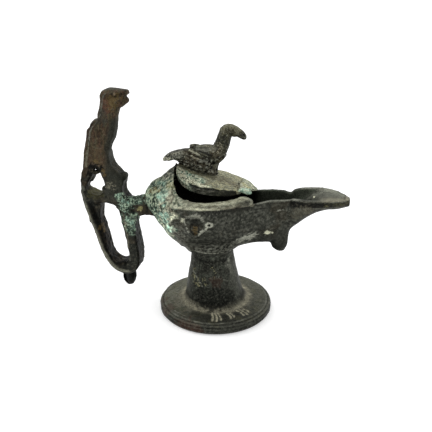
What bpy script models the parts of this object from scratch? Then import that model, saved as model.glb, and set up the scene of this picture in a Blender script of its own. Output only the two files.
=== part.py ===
"""Cast bronze oil lamp on a pedestal foot, with a beast handle and a bird on its lid.

Lengths in the tables are millimetres and become metres through MM.
+X runs from the bowl towards the spout tip, -X towards the handle, +Z is up.
The origin is the centre of the foot's flat underside.
"""
import math

import bmesh
import bpy
from mathutils import Vector

MM = 0.001
GAP = 0.3                    # clearance left between pieces that touch

# Foot: flat round base and tapering stem, turned round a slightly leaning axis
FOOT_RADIUS = 29.9
GROOVE_RADIUS = 26.2
STEM_FOOT_RADIUS = 15.6
STEM_TOP_RADIUS = 11.0
STEM_TOP_Z = 35.0
STEM_LEAN = -1.8             # how far the stem's top leans along X
SEAT_HEIGHT = 8.0            # collar between the stem and the bowl's underside
TURN_STEPS = 40
CHIP_ANGLE = math.radians(128)

# Bowl and spout: cross-sections along X, one wall thickness
WALL = 2.4
BOWL_BACK_X = -36.3
BOWL_CENTRE_X = -6.0
BOWL_HALF_WIDTH = 22.0
RIM_Z = 64.0
KEEL_Z = 35.6
HOOD_FRONT_X = -19.8
HOOD_FOOT_Z = 64.5
HOOD_TOP_Z = 80.8
HOOD_POWER = 1.35            # below 2 the hood's section comes to a point
SPOUT_TIP_X = 66.6
SECTION_POINTS = 28
OPENING = [(HOOD_FRONT_X, 4.0), (-19.4, 9.5), (-17.8, 13.2), (-12.5, 15.9), (-5.0, 17.0),
           (3.0, 16.2), (9.0, 13.4), (15.0, 10.0), (22.0, 8.0)]   # x, half width

# Rim band: the flat raised lip along both sides of the opening
BAND_WIDTH = 5.2
BAND_HEIGHT = 3.4
BAND_END_X = 17.5

# Lug below the spout
LUG_X = 33.2
LUG_BOTTOM_Z = 35.6
LUG_HALF_X = 4.9
LUG_HALF_Y = 3.9

# Shield-shaped boss on each side of the bowl
SHIELD_X = -6.6
SHIELD_Y = 20.2
SHIELD_Z = 54.0
SHIELD_LEAN = 15             # degrees from upright, following the bowl's wall
SHIELD_HALF_WIDTH = 4.9
SHIELD_HALF_HEIGHT = 6.0

# Handle
STRAP_DEPTH = 12.0           # along Y
STRAP_EDGE = 1.0             # rounding of the strap's edges
TORSO_DEPTH = 9.2            # along Y, where the strap runs into the beast
KNOB_X = -47.9
KNOB_BOTTOM_Z = 8.8
KNOB_RADIUS = 3.9

# Lid
LID_BACK_X = -18.9
LID_TIP_X = 21.6
LID_HALF_WIDTH = 14.8
LID_WALL = 2.2
FLANGE_INSET = 1.6
FLANGE_DROP = 2.6


def power_point(angle, power_up, power_down):
    """Point on a superellipse of unit size, with its own power above and below the middle."""
    across, up = math.cos(angle), math.sin(angle)
    power = power_up if up > 0 else power_down
    return (math.copysign(abs(across) ** (2 / power), across),
            math.copysign(abs(up) ** (2 / power), up))


def blend(low, high, share):
    """Smooth step from low to high as share goes from 0 to 1."""
    share = min(max(share, 0.0), 1.0)
    return low + (high - low) * share * share * (3 - 2 * share)


def through(points, steps):
    """Catmull-Rom curve through points of any size, with the given steps between two of them."""
    ends = [[2 * a - b for a, b in zip(points[0], points[1])]]
    ends += [list(p) for p in points]
    ends += [[2 * a - b for a, b in zip(points[-1], points[-2])]]
    curve = []
    for p0, p1, p2, p3 in zip(ends, ends[1:], ends[2:], ends[3:]):
        for step in range(steps):
            t = step / steps
            curve.append([0.5 * (2 * b + (c - a) * t + (2 * a - 5 * b + 4 * c - d) * t ** 2
                                 + (3 * b - a - 3 * c + d) * t ** 3)
                          for a, b, c, d in zip(p0, p1, p2, p3)])
    return curve + [list(points[-1])]


def mesh_object(name, mesh):
    """New object in the scene's root collection."""
    obj = bpy.data.objects.new(name, mesh)
    bpy.context.scene.collection.objects.link(obj)
    return obj


def loft(name, rings):
    """Closed skin over rings of points, all of one count, capped flat at both ends."""
    bm = bmesh.new()
    rows = [[bm.verts.new(Vector(p) * MM) for p in ring] for ring in rings]
    count = len(rows[0])
    for lower, upper in zip(rows, rows[1:]):
        for i in range(count):
            j = (i + 1) % count
            bm.faces.new((lower[i], lower[j], upper[j], upper[i]))
    bm.faces.new(rows[0])
    bm.faces.new(rows[-1])
    bmesh.ops.recalc_face_normals(bm, faces=bm.faces)
    mesh = bpy.data.meshes.new(name)
    bm.to_mesh(mesh)
    bm.free()
    return mesh_object(name, mesh)


def settle(obj):
    """Turn an object's evaluated shape into its plain mesh, with loose caps welded."""
    graph = bpy.context.evaluated_depsgraph_get()
    mesh = bpy.data.meshes.new_from_object(obj.evaluated_get(graph))
    bm = bmesh.new()
    bm.from_mesh(mesh)
    bmesh.ops.transform(bm, matrix=obj.matrix_world, verts=bm.verts)
    bmesh.ops.remove_doubles(bm, verts=bm.verts, dist=0.00001)
    bmesh.ops.dissolve_degenerate(bm, edges=bm.edges, dist=0.00002)
    bmesh.ops.recalc_face_normals(bm, faces=bm.faces)
    bm.to_mesh(mesh)
    bm.free()
    settled = mesh_object(obj.name + "_settled", mesh)
    name = obj.name
    bpy.data.objects.remove(obj)
    settled.name = name
    return settled


def combine(target, others, operation):
    """Exact Boolean of the target with each other object in turn; the others are used up."""
    for other in others:
        modifier = target.modifiers.new(operation.title(), "BOOLEAN")
        modifier.operation = operation
        modifier.object = other
        modifier.solver = "EXACT"
        modifier.use_self = operation == "UNION"
        bpy.context.view_layer.update()
        target = settle(target)
        bpy.data.objects.remove(other)
    return target


def tube(name, spine, count=12, squareness=2.0):
    """Loft along a spine in the XZ plane. Each spine row is x, z, half size in the plane, half Y."""
    rings = []
    for i, (x, z, half, half_y) in enumerate(spine):
        before, after = spine[max(i - 1, 0)], spine[min(i + 1, len(spine) - 1)]
        along = Vector((after[0] - before[0], 0, after[1] - before[1])).normalized()
        side = Vector((along.z, 0, -along.x))
        ring = []
        for k in range(count):
            a, b = power_point(2 * math.pi * k / count, squareness, squareness)
            ring.append(Vector((x, b * half_y, z)) + side * (a * half))
        rings.append(ring)
    return loft(name, rings)


def bronze(name, colour, roughness, metallic):
    """Principled material of one bronze finish."""
    material = bpy.data.materials.new(name)
    material.use_nodes = True
    shader = material.node_tree.nodes["Principled BSDF"]
    shader.inputs["Base Color"].default_value = (*colour, 1)
    shader.inputs["Roughness"].default_value = roughness
    shader.inputs["Metallic"].default_value = metallic
    return material


# ---- Lamp body -------------------------------------------------------------------------------

def read_off(stations, x):
    """Value at x on the straight runs between stations."""
    for (x0, v0), (x1, v1) in zip(stations, stations[1:]):
        if x <= x1:
            return v0 + (v1 - v0) * (x - x0) / (x1 - x0)
    return stations[-1][1]


def plan_half_width(x):
    """Half width of bowl and spout at the rim."""
    if x < BOWL_CENTRE_X:
        reach = (BOWL_CENTRE_X - x) / (BOWL_CENTRE_X - BOWL_BACK_X)
        return BOWL_HALF_WIDTH * math.sqrt(max(1 - reach ** 2.2, 0.0))
    return read_off([(BOWL_CENTRE_X, BOWL_HALF_WIDTH), (2, 20.8), (10, 16.8), (16, 13.0), (21, 10.4),
                     (28, 8.4), (33, 7.5), (38.2, 6.5)], x)


def hull_stations():
    """Rows of x, half width, rim z, keel z, crown z and power for the outer skin."""
    rows = []
    for share in (0.0, 0.035, 0.12, 0.27, 0.5, 0.74, 1.0):
        x = BOWL_BACK_X + 0.05 + (HOOD_FRONT_X - BOWL_BACK_X - 0.05) * share
        reach = (BOWL_CENTRE_X - x) / (BOWL_CENTRE_X - BOWL_BACK_X)
        depth = max(1 - reach ** 2.0, 0.0) ** 0.74
        crown = HOOD_FOOT_Z + (HOOD_TOP_Z - HOOD_FOOT_Z) * share ** 0.79
        rows.append((x, plan_half_width(x), 63.0, 63.0 - (63.0 - KEEL_Z) * depth, crown, 2.1))
    open_rows = [(-16.5, 35.9, 80.0), (-13.0, 35.5, 75.0), (-9.0, KEEL_Z, 68.0), (-4.0, KEEL_Z, 64.4),
                 (3.0, 35.6, 64.3), (10.0, 36.5, 64.3), (16.0, 38.7, 64.3), (21.0, 39.8, 64.3),
                 (28.0, 40.4, 65.6), (33.0, 41.7, 65.9), (38.2, 46.8, 66.0)]
    for x, keel, crown in open_rows:
        rim = min(crown - 0.01, RIM_Z + 2.0 * blend(0, 1, (x - 18) / 14))
        rows.append((x, plan_half_width(x), rim, keel, crown, 2.1))
    flare_rows = [(38.8, 7.9, 66.9, 49.0), (41.2, 9.3, 67.4, 51.0), (44.5, 10.5, 67.6, 54.6),
                  (49.0, 11.1, 67.8, 58.6), (53.0, 11.0, 67.9, 60.6), (57.0, 9.9, 67.8, 61.5),
                  (61.0, 7.8, 67.5, 61.8), (64.2, 5.0, 67.1, 62.1), (SPOUT_TIP_X, 1.8, 66.5, 62.8)]
    for x, half, rim, keel in flare_rows:
        rows.append((x, half, rim, keel, rim + 0.01, 2.5))
    return rows


def hull_ring(row, grow=0.0):
    """Closed cross-section of the outer skin at one station."""
    x, half, rim, keel, crown, power = row
    ring = []
    for k in range(SECTION_POINTS):
        a, b = power_point(2 * math.pi * k / SECTION_POINTS, HOOD_POWER, power)
        reach = crown + grow - rim if b > 0 else rim - keel + grow
        ring.append((x, a * (half + grow), rim + b * reach))
    return ring


def build_hull(name, grow=0.0):
    """Solid outer form of bowl, hood and spout."""
    rings = [hull_ring(row, grow) for row in hull_stations()]
    rings[0] = [(x - grow, y, z) for x, y, z in rings[0]]
    return loft(name, rings)


def build_hollow():
    """Space inside the bowl, under the hood and along the spout, open upwards past the hood."""
    rings = []
    for x, half, rim, keel, crown, power in hull_stations():
        if not BOWL_BACK_X + WALL < x < SPOUT_TIP_X - 1:
            continue
        floor = WALL + (rim - keel - WALL) * blend(0, 0.45, (x - 40) / 14)
        wall = WALL if x < 50 else 1.8
        past_opening = x > OPENING[-1][0]
        ring = []
        for k in range(SECTION_POINTS):
            a, b = power_point(2 * math.pi * k / SECTION_POINTS, 12 if past_opening else HOOD_POWER, power)
            up = 14 if past_opening else max(crown - 1.5 * WALL - rim, 0.4)
            reach = up if b > 0 else rim - keel - floor
            ring.append((x, a * (half - wall), rim + b * reach))
        rings.append(ring)
    return loft("hollow", rings)


def build_opening():
    """Upright prism with the leaf-shaped outline of the bowl's opening."""
    half = through(OPENING, 3)
    outline = [(x, y) for x, y in half] + [(x, -y) for x, y in reversed(half)]
    return loft("opening", [[(x, y, z) for x, y in outline] for z in (60.5, 95.0)])


def build_band(side):
    """Raised lip on one side of the opening, from the hood to its swollen front end."""
    path = [(-18.0, 15.5, 65.0, 0.8), (-12.0, 18.3, 64.9, 1.0), (-5.0, 19.6, 64.8, 1.0),
            (2.0, 18.6, 64.9, 1.0), (9.0, 15.4, 65.2, 1.05), (14.0, 12.8, 65.6, 1.2),
            (BAND_END_X, 11.2, 65.7, 1.15), (BAND_END_X + 2.0, 10.4, 65.6, 0.6)]
    rows = through(path, 2)
    rings = []
    for i, (x, y, z, size) in enumerate(rows):
        before, after = rows[max(i - 1, 0)], rows[min(i + 1, len(rows) - 1)]
        along = Vector((after[0] - before[0], after[1] - before[1], 0)).normalized()
        across = Vector((along.y, -along.x, 0))
        ring = []
        for k in range(12):
            a, b = power_point(2 * math.pi * k / 12, 3.0, 3.0)
            point = Vector((x, y, z)) + across * (a * BAND_WIDTH / 2 * size)
            point.z += b * BAND_HEIGHT / 2 * size
            point.y *= side
            ring.append(point)
        rings.append(ring)
    return loft("band", rings)


def build_lug():
    """Rounded tongue that hangs below the spout."""
    spine = []
    for z, share in ((50.0, 1.0), (44.0, 1.0), (40.0, 0.95), (37.6, 0.78), (36.3, 0.52),
                     (LUG_BOTTOM_Z, 0.16)):
        spine.append((LUG_X, z, LUG_HALF_X * share, LUG_HALF_Y * share))
    return tube("lug", spine)


def build_shield(side):
    """Low shield-shaped boss on the bowl's side: round above, pointed below."""
    lean = math.radians(SHIELD_LEAN)
    rings = []
    for depth, size in ((-2.5, 1.0), (0.7, 1.0), (1.3, 0.84)):
        ring = []
        for k in range(16):
            a, b = power_point(2 * math.pi * k / 16, 2.6, 1.4)
            across, up = a * SHIELD_HALF_WIDTH * size, b * SHIELD_HALF_HEIGHT * size
            ring.append(shield_point(side, across, up, depth, lean))
        rings.append(ring)
    return loft("shield", rings)


def shield_point(side, across, up, depth, lean):
    """Point on the shield's plane, which leans with the bowl's wall."""
    y = SHIELD_Y + up * math.sin(lean) + depth * math.cos(lean)
    return (SHIELD_X + across, side * y, SHIELD_Z + up * math.cos(lean) - depth * math.sin(lean))


def build_shield_recess(side):
    """Upright oval sunk into the shield."""
    lean = math.radians(SHIELD_LEAN)
    rings = []
    for depth in (0.0, 3.0):
        ring = []
        for k in range(12):
            a, b = power_point(2 * math.pi * k / 12, 2, 2)
            ring.append(shield_point(side, a * 2.3, b * 3.9 - 0.4, depth, lean))
        rings.append(ring)
    return loft("shield_recess", rings)


def build_seat():
    """Collar that flares from the stem's width into the bowl's underside."""
    spine = [(STEM_LEAN, STEM_TOP_Z + GAP, STEM_TOP_RADIUS, STEM_TOP_RADIUS)]
    for rise, flare in ((1.6, 0.8), (4.0, 2.1), (SEAT_HEIGHT, 3.6)):
        radius = STEM_TOP_RADIUS + flare
        spine.append((STEM_LEAN, STEM_TOP_Z + GAP + rise, radius, radius))
    return tube("seat", spine, count=36)


def build_body():
    """Bowl, hood, rim bands, spout and lug in one casting."""
    body = build_hull("lamp_body")
    body = combine(body, [build_seat(), build_lug()], "UNION")
    body = combine(body, [build_band(1), build_band(-1), build_shield(1), build_shield(-1)], "UNION")
    return combine(body, [build_hollow(), build_opening(), build_shield_recess(1),
                          build_shield_recess(-1)], "DIFFERENCE")


# ---- Foot ------------------------------------------------------------------------------------

def build_foot():
    """Turned foot and stem, with the groove inside its rim and the small chip at the back."""
    stem = [(STEM_TOP_RADIUS, STEM_TOP_Z)]
    for share in (0.12, 0.35, 0.6, 0.82):
        radius = STEM_TOP_RADIUS + (STEM_FOOT_RADIUS - STEM_TOP_RADIUS) * share ** 1.12
        stem.append((radius, STEM_TOP_Z - (STEM_TOP_Z - 7.6) * share))
    profile = [(0, STEM_TOP_Z)] + stem + [
        (STEM_FOOT_RADIUS, 8.4), (STEM_FOOT_RADIUS + 0.9, 6.9), (STEM_FOOT_RADIUS + 2.6, 6.3),
        (GROOVE_RADIUS - 0.7, 5.7), (GROOVE_RADIUS, 5.0), (GROOVE_RADIUS + 0.6, 5.5),
        (FOOT_RADIUS - 1.4, 5.2), (FOOT_RADIUS - 0.3, 4.4), (FOOT_RADIUS, 3.2),
        (FOOT_RADIUS - 0.2, 1.0), (FOOT_RADIUS - 1.0, 0), (0, 0)]
    mesh = bpy.data.meshes.new("pedestal_foot")
    points = [Vector((r, 0, z)) * MM for r, z in profile]
    mesh.from_pydata(points, [(i, i + 1) for i in range(len(points) - 1)], [])
    foot = mesh_object("pedestal_foot", mesh)
    turn = foot.modifiers.new("Turn", "SCREW")
    turn.steps = turn.render_steps = TURN_STEPS
    turn.use_merge_vertices = True
    turn.merge_threshold = 0.00001
    foot = settle(foot)
    for vertex in foot.data.vertices:
        lift = max(vertex.co.z / MM - 6, 0) / (STEM_TOP_Z - 6)
        vertex.co.x += STEM_LEAN * MM * math.sqrt(lift)
    bpy.ops.mesh.primitive_cube_add(size=1)
    chip = bpy.context.object
    chip.scale = (1.6 * MM, 9 * MM, 12 * MM)
    chip.location = Vector((math.cos(CHIP_ANGLE), math.sin(CHIP_ANGLE), 0)) * (FOOT_RADIUS + 0.25) * MM
    chip.rotation_euler = (0, 0, CHIP_ANGLE)
    bpy.context.view_layer.update()
    return combine(foot, [settle(chip)], "DIFFERENCE")


# ---- Handle ----------------------------------------------------------------------------------

def outline_plate(name, loops, depth, edge):
    """Flat plate in the XZ plane from closed outlines, the first outer and the rest holes."""
    curve = bpy.data.curves.new(name, "CURVE")
    curve.dimensions = "2D"
    curve.fill_mode = "BOTH"
    curve.extrude = (depth / 2 - edge) * MM
    curve.bevel_depth = edge * MM
    curve.bevel_resolution = 0
    curve.offset = -edge * MM
    curve.resolution_u = 3
    for points in loops:
        spline = curve.splines.new("BEZIER")
        spline.bezier_points.add(len(points) - 1)
        for knot, (x, z) in zip(spline.bezier_points, points):
            knot.co = (x * MM, z * MM, 0)
            knot.handle_left_type = knot.handle_right_type = "AUTO"
        spline.use_cyclic_u = True
    plate = bpy.data.objects.new(name, curve)
    bpy.context.scene.collection.objects.link(plate)
    plate.rotation_euler = (math.radians(90), 0, 0)
    bpy.context.view_layer.update()
    return settle(plate)


def build_loop():
    """Strap that rings the finger slot, with the pear-shaped opening above the cross bar."""
    outer = [(-64.6, 88), (-67.8, 77), (-70.1, 68.5), (-70.1, 61.5), (-67.6, 51), (-64.6, 42),
             (-61.9, 32.5), (-58.0, 23.8), (-52.5, 18.4), (-46.3, 17.6), (-41.5, 21.2), (-40.3, 29),
             (-41.3, 38), (-42.3, 46), (-42.3, 54), (-46.2, 60.5), (-48.0, 64.8), (-47.0, 69.8),
             (-49.2, 73.8), (-53.2, 78), (-55.8, 87)]
    slot = [(-63.3, 54.9), (-61.0, 45), (-58.6, 35.5), (-56.4, 26.8), (-51.6, 23.3), (-47.0, 25.8),
            (-46.4, 34), (-48.8, 46), (-53.6, 56.4)]
    pear = [(-66.3, 63.0), (-67.2, 66.4), (-64.6, 70.0), (-63.0, 74.6), (-60.4, 75.4), (-58.2, 72),
            (-56.9, 67), (-58.8, 62.8), (-62.4, 61.4)]
    plate = outline_plate("figure_handle", [outer, slot, pear], STRAP_DEPTH, STRAP_EDGE)
    for vertex in plate.data.vertices:
        vertex.co.y *= blend(1, TORSO_DEPTH / STRAP_DEPTH, (vertex.co.z / MM - 55) / 22)
    return plate


def build_beast():
    """Standing beast: torso, neck and head, looking towards the spout."""
    torso = through([(-61.1, 76.0, 7.5, 5.2), (-60.9, 84.0, 6.8, 5.0), (-59.4, 90.0, 6.8, 5.2),
                     (-57.7, 95.0, 7.6, 5.6), (-54.9, 99.2, 5.9, 5.2), (-53.9, 103.5, 4.9, 4.6),
                     (-52.7, 107.5, 5.0, 4.8), (-52.5, 111.5, 4.3, 4.8), (-52.0, 114.0, 2.4, 3.0)], 2)
    skull = through([(-56.4, 110.4, 1.8, 2.4), (-55.0, 111.0, 4.2, 4.4), (-51.5, 111.7, 5.3, 5.4),
                     (-47.6, 112.9, 4.0, 4.4), (-45.0, 113.9, 2.5, 3.2), (-43.0, 114.3, 1.7, 2.4)], 2)
    jaw = through([(-50.5, 109.5, 2.5, 3.0), (-47.0, 109.9, 2.2, 2.6), (-44.4, 110.7, 1.6, 2.2),
                   (-43.0, 111.0, 1.0, 1.4)], 2)
    return [tube("torso", torso, squareness=2.4), tube("skull", skull), tube("jaw", jaw, count=10)]


def build_stub():
    """Short bar from the loop to the back of the bowl."""
    spine = [(-47.5, 55.2, 6.2, 5.6), (-44.0, 54.9, 5.7, 5.0), (-41.0, 55.3, 5.3, 4.6),
             (-37.5, 56.6, 5.4, 5.2), (-32.0, 57.6, 6.6, 6.4)]
    return tube("stub", spine, squareness=2.6)


def build_knob():
    """Rounded drop below the loop."""
    spine = [(KNOB_X, 22.0, 2.6, 2.6), (KNOB_X, 18.4, 3.0, 3.0)]
    for share in (0.12, 0.4, 0.7, 0.9, 1.0):
        swell = math.sqrt(max(1 - (2 * share - 0.75) ** 2 / 1.6, 0.04))
        spine.append((KNOB_X, 18.4 - (18.4 - KNOB_BOTTOM_Z) * share, KNOB_RADIUS * swell,
                      KNOB_RADIUS * swell))
    return tube("knob", spine, count=10)


def build_handle():
    """Loop, beast, stub and knob in one casting, cut clear of the bowl."""
    handle = build_loop()
    handle = combine(handle, build_beast() + [build_stub(), build_knob()], "UNION")
    return combine(handle, [build_hull("bowl_clearance", GAP)], "DIFFERENCE")


# ---- Lid and bird ----------------------------------------------------------------------------

LID_ROWS = [  # x, half width, edge z, ridge z
    (LID_BACK_X, 6.0, 75.8, 80.2), (-16.0, 9.8, 73.8, 79.6), (-10.5, 13.2, 72.0, 77.8),
    (-3.0, LID_HALF_WIDTH, 71.0, 75.6), (4.0, 14.3, 70.6, 74.0), (10.0, 12.0, 70.1, 72.4),
    (15.0, 8.8, 69.6, 71.2), (18.8, 5.2, 69.0, 70.3), (LID_TIP_X, 1.4, 68.4, 69.0)]


def lid_ring(row, grow=0.0):
    """Cross-section of the lid: domed plate over an inset flange."""
    x, half, edge, ridge = row
    drop = FLANGE_DROP * blend(1, 0.1, (x - 8) / 11)
    inset = max(half - FLANGE_INSET, 0.5)
    ring = []
    for k in range(15):
        a, b = power_point(math.pi * k / 14, 2.2, 2.2)
        ring.append((x, a * (half + grow), edge + 0.9 + b * (ridge + grow - edge - 0.9)))
    ring += [(x, -half + 0.3, edge), (x, -inset, edge), (x, -inset + 0.2, edge - drop)]
    return ring + [(x, inset - 0.2, edge - drop), (x, inset, edge), (x, half - 0.3, edge)]


def lid_hollow_ring(row):
    """Cross-section of the space under the lid, open below."""
    x, half, edge, ridge = row
    inner = max(half - FLANGE_INSET - 1.8, 0.4)
    ring = []
    for k in range(13):
        a, b = power_point(math.pi * k / 12, 2.2, 2.2)
        ring.append((x, a * inner, edge - 0.4 + b * max(ridge - LID_WALL - edge + 0.4, 0.3)))
    return ring + [(x, -inner, edge - 8), (x, inner, edge - 8)]


def build_lid():
    """Pointed domed lid, hollow below."""
    rows = through(LID_ROWS, 2)
    lid = loft("lid", [lid_ring(row) for row in rows])
    inside = [lid_hollow_ring(row) for row in rows if LID_BACK_X + 1.5 < row[0] < 16]
    return combine(lid, [loft("lid_hollow", inside)], "DIFFERENCE")


FEATHERS = [  # rows of x, distance out to the side, z, half height, from the back end forwards;
              # the uppermost of the far side is the longer FAR_WING
    [(-13.2, 2.8, 86.5, 0.9), (-11.8, 3.1, 86.8, 1.9), (-7.0, 3.6, 85.8, 2.2), (-3.0, 3.8, 84.4, 2.0),
     (0.8, 3.4, 83.4, 1.0)],
    [(-20.0, 2.4, 84.8, 0.7), (-16.0, 3.8, 84.8, 1.5), (-11.0, 4.4, 84.2, 1.7), (-6.0, 4.7, 82.8, 1.6),
     (-2.0, 4.4, 81.4, 0.9)],
    [(-14.6, 3.8, 82.2, 0.7), (-11.0, 4.7, 82.0, 1.4), (-7.0, 5.0, 80.9, 1.5), (-3.0, 4.6, 79.6, 0.9)]]
FAR_WING = [(-11.8, 2.4, 86.2, 1.0), (-11.0, 2.6, 86.5, 2.0), (-6.5, 3.0, 86.8, 2.2),
            (-2.0, 2.8, 86.2, 2.1), (2.4, 2.0, 85.6, 1.2)]


def build_feather(side, rows):
    """Rounded bar laid back along the bird's flank."""
    rings = []
    for x, out, z, half in through(rows, 2):
        ring = []
        for k in range(8):
            a, b = power_point(2 * math.pi * k / 8, 2, 2)
            ring.append((x, side * (out + a * half * 0.8), z + b * half))
        rings.append(ring)
    return loft("feather", rings)


def build_bird():
    """Bird with folded wings and a flat tail on a low base, cut to sit on the lid."""
    body = through([(-14.0, 84.8, 1.6, 2.2), (-10.0, 84.7, 3.2, 4.0), (-4.0, 84.4, 4.0, 4.4),
                    (0.5, 85.2, 4.4, 4.4), (4.4, 87.2, 2.4, 2.8)], 2)
    neck = through([(0.4, 85.4, 4.5, 4.0), (2.5, 89.6, 4.0, 3.4), (3.8, 94.0, 3.5, 2.8),
                    (5.1, 97.2, 3.4, 2.8), (7.0, 99.0, 2.6, 2.4)], 2)
    head = through([(3.2, 97.6, 1.7, 1.8), (6.0, 98.3, 2.9, 2.8), (9.2, 97.7, 2.7, 2.4),
                    (11.6, 96.5, 2.2, 2.0), (13.2, 95.1, 1.8, 1.6), (13.9, 94.1, 1.2, 1.1),
                    (14.2, 93.5, 0.5, 0.5)], 2)
    tail = through([(-10.0, 84.9, 2.8, 4.4), (-16.0, 84.8, 2.4, 4.8), (-21.0, 83.8, 2.0, 4.6),
                    (-24.0, 82.8, 1.7, 3.8), (-26.2, 82.0, 1.0, 2.6)], 2)
    base = [(-6.4, 72.0, 8.0, 3.8), (-6.4, 76.5, 7.8, 3.8), (-7.6, 80.6, 9.6, 4.2), (-6.6, 83.5, 8.6, 4.2)]
    parts = [tube("neck", neck, count=10), tube("head", head, count=10),
             tube("tail", tail, count=10), tube("base", base)]
    bird = combine(tube("bird_finial", body, count=10), parts, "UNION")
    wings = [build_feather(1, FAR_WING)]
    wings += [build_feather(-1, rows) for rows in FEATHERS]
    wings += [build_feather(1, rows) for rows in FEATHERS[1:]]
    bird = combine(bird, wings, "UNION")
    cutter = loft("lid_clearance", [lid_ring(row, GAP) for row in through(LID_ROWS, 2)])
    return combine(bird, [cutter], "DIFFERENCE")


FINISHES = {
    "lamp_body": ((0.075, 0.085, 0.068), 0.55, 0.55),
    "pedestal_foot": ((0.045, 0.050, 0.042), 0.50, 0.60),
    "figure_handle": ((0.085, 0.068, 0.045), 0.50, 0.60),
    "lid": ((0.270, 0.275, 0.205), 0.70, 0.30),
    "bird_finial": ((0.060, 0.055, 0.040), 0.50, 0.60),
}


def main():
    for old in list(bpy.data.objects):
        bpy.data.objects.remove(old)
    lamp = bpy.data.collections.new("bronze_oil_lamp")
    bpy.context.scene.collection.children.link(lamp)
    for builder in (build_body, build_foot, build_handle, build_lid, build_bird):
        piece = builder()
        piece.data.name = piece.name
        piece.data.materials.clear()
        piece.data.materials.append(bronze(piece.name + "_bronze", *FINISHES[piece.name]))
        piece.data.shade_smooth()
        piece.data.set_sharp_from_angle(angle=math.radians(40))
        bpy.context.scene.collection.objects.unlink(piece)
        lamp.objects.link(piece)


main()
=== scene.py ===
# Bronze oil lamp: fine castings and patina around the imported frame.
# Lengths in the dictionaries are millimetres, colours are 0 to 255 as seen on a screen.
import math

import bmesh
import bpy
import numpy as np
from mathutils import Matrix, Vector, kdtree, noise


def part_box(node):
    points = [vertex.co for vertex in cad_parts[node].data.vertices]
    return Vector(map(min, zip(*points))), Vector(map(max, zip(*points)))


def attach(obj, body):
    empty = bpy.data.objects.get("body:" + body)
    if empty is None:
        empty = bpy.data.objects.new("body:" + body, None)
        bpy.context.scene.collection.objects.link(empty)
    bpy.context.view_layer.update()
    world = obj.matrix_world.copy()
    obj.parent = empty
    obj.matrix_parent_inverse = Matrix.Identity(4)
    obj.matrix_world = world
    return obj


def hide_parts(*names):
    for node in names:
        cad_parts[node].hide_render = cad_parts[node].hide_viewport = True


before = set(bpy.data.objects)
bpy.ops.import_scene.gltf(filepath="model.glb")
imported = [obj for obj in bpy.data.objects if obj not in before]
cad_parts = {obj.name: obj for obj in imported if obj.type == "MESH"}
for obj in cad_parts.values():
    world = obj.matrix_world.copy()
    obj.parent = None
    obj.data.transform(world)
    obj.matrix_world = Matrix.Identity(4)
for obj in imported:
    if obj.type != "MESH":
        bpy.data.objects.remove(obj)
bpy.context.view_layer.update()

mm = 0.001


# small helpers: colours, smooth steps, noise and simple forms

def tone(red, green, blue):      # screen colour to the linear values that shaders use
    return np.array([(c / 255 / 12.92) if c <= 10.3 else ((c / 255 + 0.055) / 1.055) ** 2.4
                     for c in (red, green, blue)])


def ease(share):                 # smooth step on arrays, clipped to 0..1
    share = np.clip(share, 0.0, 1.0)
    return share * share * (3 - 2 * share)


def rise(values, start, width):  # 0 up to start, 1 from start + width on
    return ease((values - start) / width)


def fall(values, end, width):    # 1 up to end - width, 0 from end on
    return ease((end - values) / width)


def bell(values, centre, width):                    # 1 at the centre, fading out on both sides
    return np.exp(-((values - centre) / width) ** 2)


def mottle(points, size, octaves=3, seed=0.0):      # fractal noise about 0, one value a point
    shift = Vector((seed * 7.3, seed * -3.1, seed * 5.7))
    scale = 1.0 / size
    return np.array([noise.fractal(Vector(p) * scale + shift, 1.0, 2.0, octaves) for p in points])


def farFrom(points, path):       # distance to a path of points
    path = [np.array(p, float) for p in path]
    nearest = np.full(len(points), 1e9)
    for start, end in zip(path, path[1:]):
        run = end - start
        share = np.clip((points - start) @ run / max(run @ run, 1e-9), 0, 1)
        gap = np.linalg.norm(points - (start + share[:, None] * run), axis=1)
        nearest = np.minimum(nearest, gap)
    return nearest


def spots(points, places, ragged=None):             # 1 inside any of the places (x, y, z, reach), soft edge
    cover = np.zeros(len(points))
    for x, y, z, reach in places:
        gap = np.linalg.norm(points - np.array((x, y, z)), axis=1)
        if ragged is not None:
            gap = gap + ragged * reach * 0.6
        cover = np.maximum(cover, ease((reach - gap) / (0.4 * reach) + 0.5))
    return cover


def newPiece(name, shape):
    mesh = bpy.data.meshes.new(name)
    shape.to_mesh(mesh)
    shape.free()
    piece = bpy.data.objects.new(name, mesh)
    bpy.context.scene.collection.objects.link(piece)
    return piece


def freeze(piece):               # modifiers become the mesh
    graph = bpy.context.evaluated_depsgraph_get()
    mesh = bpy.data.meshes.new_from_object(piece.evaluated_get(graph))
    piece.modifiers.clear()
    old = piece.data
    piece.data = mesh
    bpy.data.meshes.remove(old)
    mesh.name = piece.name


def ball(shape, centre, radii, turn=0.0):           # ellipsoid, turned about Y by degrees
    place = Matrix.Translation(Vector(centre) * mm) @ Matrix.Rotation(math.radians(turn), 4, "Y")
    place = place @ Matrix.Diagonal((*(Vector(radii) * mm), 1))
    bmesh.ops.create_uvsphere(shape, u_segments=20, v_segments=12, radius=1.0, matrix=place)


def rod(shape, start, end, startRadius, endRadius):
    start, end = Vector(start) * mm, Vector(end) * mm
    turn = (end - start).to_track_quat("Z", "Y").to_matrix().to_4x4()
    place = Matrix.Translation((start + end) / 2) @ turn
    bmesh.ops.create_cone(shape, cap_ends=True, segments=16, radius1=startRadius * mm,
                          radius2=endRadius * mm, depth=(end - start).length, matrix=place)


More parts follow.
